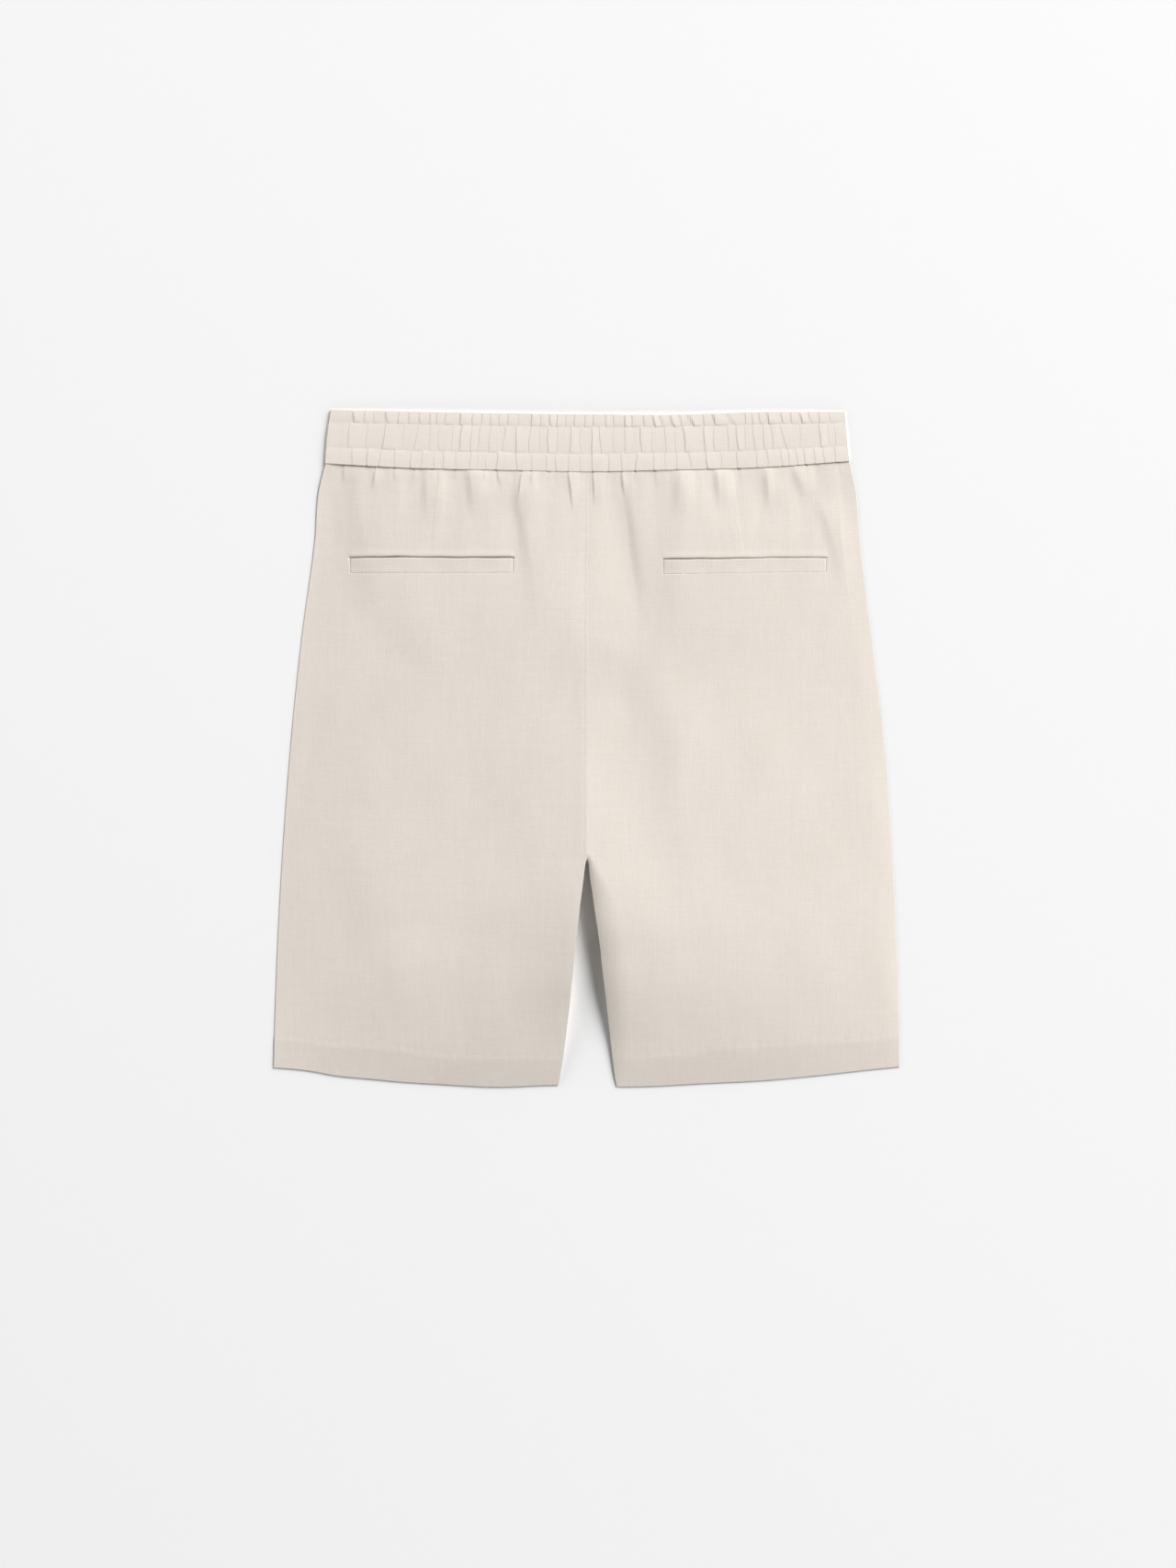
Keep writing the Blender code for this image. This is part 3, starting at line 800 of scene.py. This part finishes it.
def band_points():
    """The waistband as a closed tube of cloth: points[column round the loop][row round the wall]."""
    left, right = BAND_LEFT + BAND_END_ROUND, BAND_RIGHT - BAND_END_ROUND
    back_x = np.linspace(left, right, BACK_COLUMNS)
    front_x = np.linspace(right, left, FRONT_COLUMNS)
    turn = np.linspace(pi / 2, -pi / 2, END_COLUMNS + 2)[1:-1]
    x = np.concatenate([back_x, np.full_like(turn, right), front_x, np.full_like(turn, left)])
    angle = np.concatenate([
        np.full(len(back_x), pi / 2), turn, np.full(len(front_x), -pi / 2), pi - turn[::-1],
    ])
    facing = (1 + np.sin(angle)) / 2
    rows = [band_row(x, share, facing) for share in band_section()]
    lower, top = smooth(WAIST, x, "lower"), smooth(WAIST, x, "top")
    for share in np.linspace(1, 0, 7)[1:-1]:
        rows.append((mix(lower, top, share), np.full_like(x, BAND_WALL_IN)))
    y = np.array([row[0] for row in rows]).T
    height = np.array([row[1] for row in rows]).T
    middle = band_place(x[:, None], y)
    out = height * np.cos(angle)[:, None] * BAND_END_ROUND / BAND_END_FACE
    z = band_middle(x)[:, None] + height * np.sin(angle)[:, None]
    return np.stack([middle + out, y, z], axis=-1)


# Meshes


def welt_mesh(side):
    """A welt of doubled cloth in its sunk window, its folded edge a little short of the mouth."""
    welt = WELTS[side]
    length = abs(welt.outer_x - welt.inner_x)
    along = mirrored([0.0, 0.0008, 0.002, 0.0036, 0.006], np.linspace(0.012, 0.988, 150))[None, :]
    up = mirrored([0.0, 0.01, 0.025, 0.05], np.linspace(0.1, 0.9, 12))[:, None]
    foot, mouth = welt_lines(side, along)
    depth = mouth - (WELT_GAP + 0.2 * np.sin(along * 9.0)) - foot
    x = mix(welt.inner_x, welt.outer_x, along) + 0 * up
    y = foot + depth * up
    floor = back_height(side, x, mix(foot + 1.2, mouth - 3.2, up))
    edges = roll(np.minimum(along, 1 - along) * length, WELT_ROUND) * roll(up * depth, WELT_ROUND)
    edges = edges * roll((1 - up) * depth, WELT_FOLD_ROUND)
    ripple = WELT_RIPPLE * np.sin(along * 23.0) * np.sin(pi * up)
    z = floor + WELT_FACE + edges * (WELT_RISE + WELT_PUFF * up**2 + ripple)
    face = np.stack([x, y, z], axis=-1)
    back = np.stack([x, y, floor + WELT_BACK], axis=-1)[::-1]
    points = np.concatenate([face, back])
    return points, grid_faces(*points.shape[:2], wrap_rows=True)


def grid_faces(rows, columns, wrap_rows=False, wrap_columns=False):
    """Quads of a grid of points, with either way closed on itself if asked."""
    index = np.arange(rows * columns).reshape(rows, columns)
    if wrap_rows:
        index = np.vstack([index, index[:1]])
    if wrap_columns:
        index = np.hstack([index, index[:, :1]])
    corners = (index[:-1, :-1], index[:-1, 1:], index[1:, 1:], index[1:, :-1])
    return np.stack(corners, axis=-1).reshape(-1, 4)


def add_object(name, data):
    """A new object in the scene."""
    thing = bpy.data.objects.new(name, data)
    bpy.context.scene.collection.objects.link(thing)
    return thing


def add_mesh(name, points, faces, material, outward=None):
    """A smooth mesh object of points in millimetres, its faces turned to outward if given."""
    mesh = bpy.data.meshes.new(name)
    points = points.reshape(-1, 3) * MM
    if outward is not None:
        a, b, c = points[faces[len(faces) // 2][:3]]
        if np.dot(np.cross(b - a, c - a), outward) < 0:
            faces = faces[:, ::-1]
    mesh.from_pydata(points.tolist(), [], faces.tolist())
    mesh.validate()
    mesh.shade_smooth()
    mesh.materials.append(material)
    return add_object(name, mesh)


def fit_out(piece, slot, *nodes):
    """Attach a piece of cloth to its body and hide the solids it stands for. The slot is not used.
    """
    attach(piece, "root")
    if nodes:
        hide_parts(*nodes)


def stitch_shape():
    """One stitch as a small ball of triangles in a settled order, its length along Z."""
    ball = bmesh.new()
    bmesh.ops.create_uvsphere(ball, u_segments=6, v_segments=4, radius=0.5)
    bmesh.ops.triangulate(ball, faces=ball.faces)
    points = np.array([vertex.co for vertex in ball.verts])
    faces = [[vertex.index for vertex in face.verts] for face in ball.faces]
    ball.free()
    firsts = [face.index(min(face)) for face in faces]
    return points, np.array(sorted(face[k:] + face[:k] for face, k in zip(faces, firsts)))


def sewn(path, height, pitch, length, across=False):
    """Centres of the stitches along a plan path on a surface, and their runs end to end."""
    path = np.array(path, float)
    reach = np.concatenate([[0.0], np.cumsum(np.hypot(*np.diff(path, axis=0).T))])
    at = np.arange(pitch / 2, reach[-1], pitch)
    x, y = np.interp(at, reach, path[:, 0]), np.interp(at, reach, path[:, 1])
    way_x, way_y = np.gradient(x), np.gradient(y)
    span = np.hypot(way_x, way_y)
    way_x, way_y = 0.5 * length * way_x / span, 0.5 * length * way_y / span
    if across:
        way_x, way_y = -way_y, way_x
    before, after = height(x - way_x, y - way_y), height(x + way_x, y + way_y)
    centres = np.stack([x, y, (height(x, y) + before + after) / 3], axis=-1)
    return centres, np.stack([2 * way_x, 2 * way_y, after - before], axis=-1)


def stitches(runs, width):
    """Points and faces of all the stitches of the runs, each lying along its direction."""
    shape, faces = stitch_shape()
    centres = np.concatenate([run[0] for run in runs])
    ways = np.concatenate([run[1] for run in runs])
    across = np.cross(ways, (0.0, 0.0, 1.0))
    across = across / np.linalg.norm(across, axis=1, keepdims=True)
    upward = np.cross(across, ways)
    upward = upward / np.linalg.norm(upward, axis=1, keepdims=True)
    points = centres[:, None, :]
    for part, way in zip(shape.T, (across * width, upward * width, ways)):
        points = points + part[None, :, None] * way[:, None, :]
    counted = np.arange(len(centres))[:, None, None] * len(shape)
    return points, (faces[None] + counted).reshape(-1, 3)


def hem_path(side):
    """Plan of a leg's row of hem stitching, from the inseam to the side seam."""
    away = -1 if side == "left" else 1
    x = away * np.linspace(30.0, 271.0, 120)
    edge = smooth(HEM, x, "edge")
    return np.stack([x, edge + smooth(TURNUP, np.abs(x), side)], axis=-1)


def band_stitches(pitch, length, sunk):
    """The waistband's two rows of stitching, on its back and its front."""
    runs = []
    reach = BAND_RIGHT - 4.0
    x = np.arange(-reach, reach, pitch)
    for share in (LOWER_STITCH, UPPER_STITCH):
        for facing, way in ((1.0, 1.0), (0.0, -1.0)):
            y, height = band_row(x, share, facing)
            z = band_middle(x) + way * (height - sunk)
            centres = np.stack([band_place(x, y), y, z], axis=-1)
            runs.append((centres, np.gradient(centres, axis=0) * length / pitch))
    return runs


# Materials

# where a panel's cloth lies double, this attribute paints shade into its colour
DOUBLED = "doubled"  # attribute of a panel's points, 1 where the cloth lies double
# painted shade: the colour of doubled cloth is multiplied by this, for less light coming back
# through it
DOUBLED_PAINTED_SHADE = "#FAFAFA"
MIX_A, MIX_B, MIX_COLOUR = 6, 7, 2  # colour sockets of a mix node: two in, one out
# Threads of the weave: pitch and length in mm, detail of the noise, and weight
THREADS = "across along detail weight"
GRAIN = table(THREADS, (1.5, 15, 2, 0.5), (13, 1.5, 2, 0.4), (0.9, 0.9, 1, 0.4))
STREAKS = table(THREADS, (4, 70, 1, 0.3), (60, 4, 1, 0.25), (60, 80, 2, 0.4))
TONES = (0.76, 1.49)  # sums of the threads that are darkest and lightest


def linear(colour):
    """An sRGB colour as a linear one, with alpha."""
    values = [int(colour[k:k + 2], 16) / 255 for k in (1, 3, 5)]
    return [v / 12.92 if v <= 0.04045 else ((v + 0.055) / 1.055) ** 2.4 for v in values] + [1.0]


def feed(tree, node, inputs):
    """Set a node's sockets to values, or link them to outputs."""
    for key, value in inputs.items():
        if isinstance(value, bpy.types.NodeSocket):
            tree.links.new(value, node.inputs[key])
        else:
            node.inputs[key].default_value = value


def add_node(tree, kind, inputs=None, **settings):
    """Add a node, set its properties and feed its sockets."""
    node = tree.nodes.new(kind)
    for key, value in settings.items():
        setattr(node, key, value)
    feed(tree, node, inputs or {})
    return node


def new_material(name):
    """A material with its tree and its shader."""
    material = bpy.data.materials.new(name)
    material.use_nodes = True
    return material, material.node_tree, material.node_tree.nodes["Principled BSDF"]


def add_bump(tree, height, strength, depth):
    """Normal of a surface with fine relief, its depth in mm."""
    inputs = {"Strength": strength, "Distance": depth * MM, "Height": height}
    return add_node(tree, "ShaderNodeBump", inputs).outputs["Normal"]


def woven_linen(name, colour, shade, roughness):
    """Plain-weave linen, washed and undyed: matt, with slubby threads that catch a little light.

    Real threads lie about 0.5 mm apart, finer than a pixel, so the weave is drawn 0.9 mm apart, and
    the slubs, which are thicker lengths of thread, 1.5 mm apart and 15 mm long. Where the
    cloth is doubled less light comes back through it; this is painted in as shade, the colour
    multiplied a little darker there.
    """
    material, tree, shader = new_material(name)
    place = add_node(tree, "ShaderNodeTexCoord").outputs["Object"]

    def add_threads(total, rows):
        """Add noise drawn out to the rows' threads."""
        for row in rows:
            size = {"Scale": (1 / MM / row.across, 1 / MM / row.along, 1), "Vector": place}
            noise = {
                "Scale": 1, "Detail": row.detail, "Roughness": 0.6,
                "Vector": add_node(tree, "ShaderNodeMapping", size).outputs["Vector"],
            }
            value = add_node(tree, "ShaderNodeTexNoise", noise).outputs["Fac"]
            sum_up = {0: value, 1: row.weight, 2: total}
            total = add_node(tree, "ShaderNodeMath", sum_up, operation="MULTIPLY_ADD").outputs[0]
        return total

    grain = add_threads(0.0, GRAIN)
    tone = add_threads(grain, STREAKS)
    span = {"From Min": TONES[0], "From Max": TONES[1], "Value": tone}
    spread = add_node(tree, "ShaderNodeMapRange", span).outputs["Result"]
    single = add_node(
        tree, "ShaderNodeMix", {"Factor": spread, MIX_A: linear(shade), MIX_B: linear(colour)},
        data_type="RGBA",
    ).outputs[MIX_COLOUR]
    # painted shade: the colour is multiplied darker where the cloth lies double
    doubled = add_node(tree, "ShaderNodeAttribute", attribute_name=DOUBLED).outputs["Fac"]
    cloth = add_node(
        tree, "ShaderNodeMix", {"Factor": doubled, MIX_A: single, MIX_B: linear(DOUBLED_PAINTED_SHADE)},
        data_type="RGBA", blend_type="MULTIPLY",
    ).outputs[MIX_COLOUR]
    feed(tree, shader, {
        "Base Color": cloth, "Normal": add_bump(tree, grain, 0.4, 0.4), "Roughness": roughness,
        "IOR": 1.5, "Specular IOR Level": 0.25, "Sheen Weight": 0.12, "Sheen Roughness": 0.5,
    })
    return material


def sewing_thread(colour):
    """Spun polyester sewing thread: matt, twisted from fine fibres, a little lighter than the linen.

    The twist is finer than a pixel and is drawn 0.5 mm apart.
    """
    material, tree, shader = new_material("polyester_spun_thread")
    place = add_node(tree, "ShaderNodeTexCoord").outputs["Object"]
    twist = add_node(
        tree, "ShaderNodeTexWave", {"Scale": 600.0, "Vector": place}, bands_direction="DIAGONAL"
    ).outputs["Fac"]
    feed(tree, shader, {
        "Base Color": linear(colour), "Normal": add_bump(tree, twist, 0.3, 0.1), "Roughness": 0.7,
        "Sheen Weight": 0.1,
    })
    return material


def painted_floor(colour):
    """Matt white painted board: an even pale surface that throws soft light back."""
    material, tree, shader = new_material("matt_white_board")
    inputs = {"Base Color": linear(colour), "Roughness": 0.95, "Specular IOR Level": 0.1}
    feed(tree, shader, inputs)
    return material


# Sizes and colours that a user may set


class ShortsCloth(bpy.types.PropertyGroup):
    """Colours and finish of the linen."""

    panel_colour: StringProperty(
        name="Panel thread", description="Light thread of the panels, sRGB hex", default="#E3DBD2"
    )
    panel_shade: StringProperty(
        name="Panel shade", description="Darker thread of the panels, sRGB hex", default="#D8CFC5"
    )
    band_colour: StringProperty(
        name="Waistband thread", description="Light thread of the waistband", default="#E7DED6"
    )
    band_shade: StringProperty(
        name="Waistband shade", description="Darker thread of the waistband", default="#DED5CB"
    )
    thread_colour: StringProperty(
        name="Sewing thread", description="Colour of the stitching, sRGB hex", default="#E4DCD2"
    )
    roughness: FloatProperty(
        name="Roughness", description="Roughness of the linen", default=0.9, min=0.3, max=1.0
    )


class ShortsSizes(bpy.types.PropertyGroup):
    """Sizes that a maker would change, in millimetres."""

    cloth_step: FloatProperty(
        name="Cloth step", description="Spacing of the panels' points across them, mm",
        default=0.85, min=0.4,
    )
    stitch_length: FloatProperty(
        name="Stitch", description="Length of one stitch, mm", default=2.4, min=1.0
    )
    stitch_pitch: FloatProperty(
        name="Stitch pitch", description="From one stitch to the next, mm", default=3.2, min=1.5
    )
    thread_width: FloatProperty(
        name="Thread", description="Width of the sewing thread, mm", default=0.38, min=0.1
    )


class ShortsStage(bpy.types.PropertyGroup):
    """Floor, light and camera."""

    floor_colour: StringProperty(
        name="Floor", description="Colour of the floor, sRGB hex", default="#F0F0F0"
    )
    camera_height: FloatProperty(
        name="Camera height", description="Camera over the floor", default=2.6, unit="LENGTH"
    )
    key_power: FloatProperty(
        name="Key", description="Power of the soft key light, W", default=6300.0, min=0.0
    )
    key_turn: FloatProperty(
        name="Key turn", description="Direction of the key from the right side, upward in view",
        default=radians(47.0), subtype="ANGLE",
    )
    key_tilt: FloatProperty(
        name="Key tilt", description="Height of the key over the floor",
        default=radians(24.0), subtype="ANGLE",
    )
    sky_strength: FloatProperty(
        name="Sky", description="Strength of the light from the walls, under a dark ceiling",
        default=2.36, min=0.0,
    )


# Operators


def add_panels(face, linen, levels, places, height, faced):
    """The back's or the front's two panels, shells with their hems turned up inside the legs."""
    up = -1 if face == "back" else 1
    for side in SIDES:
        x, y = panel_plan(side, levels, places[side] / PANEL_WIDTH)
        x, y, z = turned_hem(side, x, y, height(side, x, y), up, faced)
        points = np.stack([x, y, z], axis=-1)
        piece = add_mesh(
            f"{face}_panel_{side}", points, grid_faces(*x.shape), linen, Vector((0, 0, -up))
        )
        # mask of the painted shade: 1 over the turned-up hem, fading out just above its stitching
        doubled = 1 - ramp(above_hem_stitch(side, x, y), -4.0, 6.0)
        attribute = piece.data.attributes.new(DOUBLED, "FLOAT", "POINT")
        attribute.data.foreach_set("value", doubled.ravel())
        fit_out(piece, "linen", f"{face}_{side}")


class SHORTS_OT_backs(bpy.types.Operator):
    """Build the two back panels with their folds, darts and turned hems"""

    bl_idname = "shorts.backs"
    bl_label = "Back panels"

    def execute(self, context):
        cloth, step = context.scene.shorts_cloth, context.scene.shorts_sizes.cloth_step
        linen = woven_linen(LINEN, cloth.panel_colour, cloth.panel_shade, cloth.roughness)
        levels = refined(panel_levels(1.3, 3 * step), POCKET_LEVELS)
        places = {side: pocket_places(panel_places(step), side) for side in SIDES}
        add_panels("back", linen, levels, places, back_height, front_height)
        return {"FINISHED"}


class SHORTS_OT_fronts(bpy.types.Operator):
    """Build the two front panels that the shorts lie on"""

    bl_idname = "shorts.fronts"
    bl_label = "Front panels"

    def execute(self, context):
        linen = bpy.data.materials[LINEN]
        levels, places = panel_levels(2.0, FRONT_STEP), panel_places(FRONT_STEP)
        add_panels("front", linen, levels, dict.fromkeys(SIDES, places), front_height, back_height)
        return {"FINISHED"}


class SHORTS_OT_waistband(bpy.types.Operator):
    """Build the gathered waistband as one loop of doubled cloth"""

    bl_idname = "shorts.waistband"
    bl_label = "Waistband"

    def execute(self, context):
        cloth = context.scene.shorts_cloth
        linen = woven_linen("linen_gathered", cloth.band_colour, cloth.band_shade, cloth.roughness)
        points = band_points()
        faces = grid_faces(*points.shape[:2], wrap_rows=True, wrap_columns=True)
        piece = add_mesh("waistband", points, faces, linen)
        fit_out(piece, "linen_waistband", "waistband_back", "waistband_front")
        return {"FINISHED"}


class SHORTS_OT_welts(bpy.types.Operator):
    """Build the two pocket welts in their windows"""

    bl_idname = "shorts.welts"
    bl_label = "Pocket welts"

    def execute(self, context):
        linen = bpy.data.materials[LINEN]
        for side in SIDES:
            piece = add_mesh(f"pocket_welt_{side}", *welt_mesh(side), linen)
            fit_out(piece, "linen", f"welt_{side}")
        return {"FINISHED"}


class SHORTS_OT_stitching(bpy.types.Operator):
    """Sew the rows of topstitching on the panels and the waistband"""

    bl_idname = "shorts.stitching"
    bl_label = "Stitching"

    def execute(self, context):
        sizes = context.scene.shorts_sizes
        thread = sewing_thread(context.scene.shorts_cloth.thread_colour)
        pitch, length = sizes.stitch_pitch, sizes.stitch_length
        sunk = SUNK * sizes.thread_width
        seat_y = np.linspace(WAIST_LEVEL - 1.0, FORK_Y + 6.0, 60)
        seat_row = np.stack([seat_line(seat_y) - SEAT_STITCH, seat_y], axis=-1)

        def add(name, slot, *runs):
            piece = add_mesh(f"stitching_{name}", *stitches(runs, sizes.thread_width), thread)
            fit_out(piece, slot)

        for side in SIDES:
            def on_back(x, y, side=side):
                return back_height(side, x, y) - sunk

            def on_front(x, y, side=side):
                return front_height(side, x, y) + sunk

            hem, dart = hem_path(side), DARTS[side]
            ticks = ((dart.head_x, dart.head_y), (dart.foot_x, dart.foot_y + DART_CLEAR))
            if side == "left":
                last = sewn(seat_row, on_back, pitch, length)
            else:
                last = sewn(TACK, on_back, TACK_PITCH, length, across=True)
            add(
                f"back_{side}", "linen", sewn(hem, on_back, pitch, length),
                sewn(ticks, on_back, DART_PITCH, DART_TICK, across=True), last,
            )
            add(f"front_{side}", "linen", sewn(hem, on_front, pitch, length))
        add("waistband", "linen_waistband", *band_stitches(pitch, length, sunk))
        return {"FINISHED"}


FLOOR_SIZE = 8.0
WALL_TOP, CEILING = 0.25, 0.6  # sines of the angles up where the walls' light ends and is gone
KEY_SIZE, KEY_DISTANCE = 9.0, 20.0
VIEW_HEIGHT = 1.3656  # of the floor seen
EYE_PLACE = (0.0012, -0.0308)  # of the camera over the floor
SIGHT = 40.0


class SHORTS_OT_stage(bpy.types.Operator):
    """Build the pale floor, the soft light and the camera straight above"""

    bl_idname = "shorts.stage"
    bl_label = "Floor, light and camera"

    def execute(self, context):
        stage = context.scene.shorts_stage
        bpy.ops.mesh.primitive_plane_add(size=FLOOR_SIZE)
        floor = context.object
        floor.name = "floor"
        floor.data.materials.append(painted_floor(stage.floor_colour))

        world = bpy.data.worlds.new("studio")
        world.use_nodes = True
        tree = world.node_tree
        sky = tree.nodes["Background"]
        sky.inputs["Color"].default_value = (1.0, 1.0, 1.0, 1.0)
        way = add_node(tree, "ShaderNodeTexCoord").outputs["Generated"]
        height = add_node(tree, "ShaderNodeSeparateXYZ", {"Vector": way}).outputs["Z"]
        inputs = {
            "Value": height, "From Min": WALL_TOP, "From Max": CEILING, "To Min": stage.sky_strength,
            "To Max": 0.0,
        }
        walls = add_node(tree, "ShaderNodeMapRange", inputs, interpolation_type="SMOOTHSTEP")
        tree.links.new(walls.outputs["Result"], sky.inputs["Strength"])
        context.scene.world = world

        key = bpy.data.lights.new("key", "AREA")
        key.shape = "RECTANGLE"
        key.size = key.size_y = KEY_SIZE
        key.energy = stage.key_power
        lamp = add_object("key", key)
        turn, tilt = stage.key_turn, stage.key_tilt
        lamp.location = KEY_DISTANCE * Vector(
            (cos(tilt) * cos(turn), cos(tilt) * sin(turn), sin(tilt))
        )
        lamp.rotation_euler = (-lamp.location).to_track_quat("-Z", "Y").to_euler()

        camera = bpy.data.cameras.new("camera")
        half = VIEW_HEIGHT / 2
        camera.lens = camera.sensor_width / 2 / (half / stage.camera_height)
        camera.clip_end = SIGHT
        eye = add_object("camera", camera)
        eye.location = (*EYE_PLACE, stage.camera_height)
        context.scene.camera = eye
        context.scene.view_settings.view_transform = "Standard"
        return {"FINISHED"}


class SHORTS_PT_panel(bpy.types.Panel):
    """Sizes, colours and the order of building"""

    bl_label = "Bermuda shorts"
    bl_idname = "SHORTS_PT_panel"
    bl_space_type = "VIEW_3D"
    bl_region_type = "UI"
    bl_category = "Shorts"

    def draw(self, context):
        for group in ("shorts_cloth", "shorts_sizes", "shorts_stage"):
            box = self.layout.box()
            settings = getattr(context.scene, group)
            for name in settings.bl_rna.properties.keys():
                if name not in ("rna_type", "name"):
                    box.prop(settings, name)
        for operator in OPERATORS:
            self.layout.operator(operator.bl_idname)


OPERATORS = (
    SHORTS_OT_stage,
    SHORTS_OT_backs,
    SHORTS_OT_fronts,
    SHORTS_OT_waistband,
    SHORTS_OT_welts,
    SHORTS_OT_stitching,
)
GROUPS = {
    "shorts_cloth": ShortsCloth,
    "shorts_sizes": ShortsSizes,
    "shorts_stage": ShortsStage,
}


def register():
    for name, group in GROUPS.items():
        bpy.utils.register_class(group)
        setattr(bpy.types.Scene, name, PointerProperty(type=group))
    for item in (*OPERATORS, SHORTS_PT_panel):
        bpy.utils.register_class(item)


def unregister():
    for item in reversed((*OPERATORS, SHORTS_PT_panel)):
        bpy.utils.unregister_class(item)
    for name, group in GROUPS.items():
        delattr(bpy.types.Scene, name)
        bpy.utils.unregister_class(group)


def main():
    register()
    bpy.ops.shorts.stage()
    bpy.ops.shorts.backs()
    bpy.ops.shorts.fronts()
    bpy.ops.shorts.waistband()
    bpy.ops.shorts.welts()
    bpy.ops.shorts.stitching()


if __name__ == "__main__":
    main()
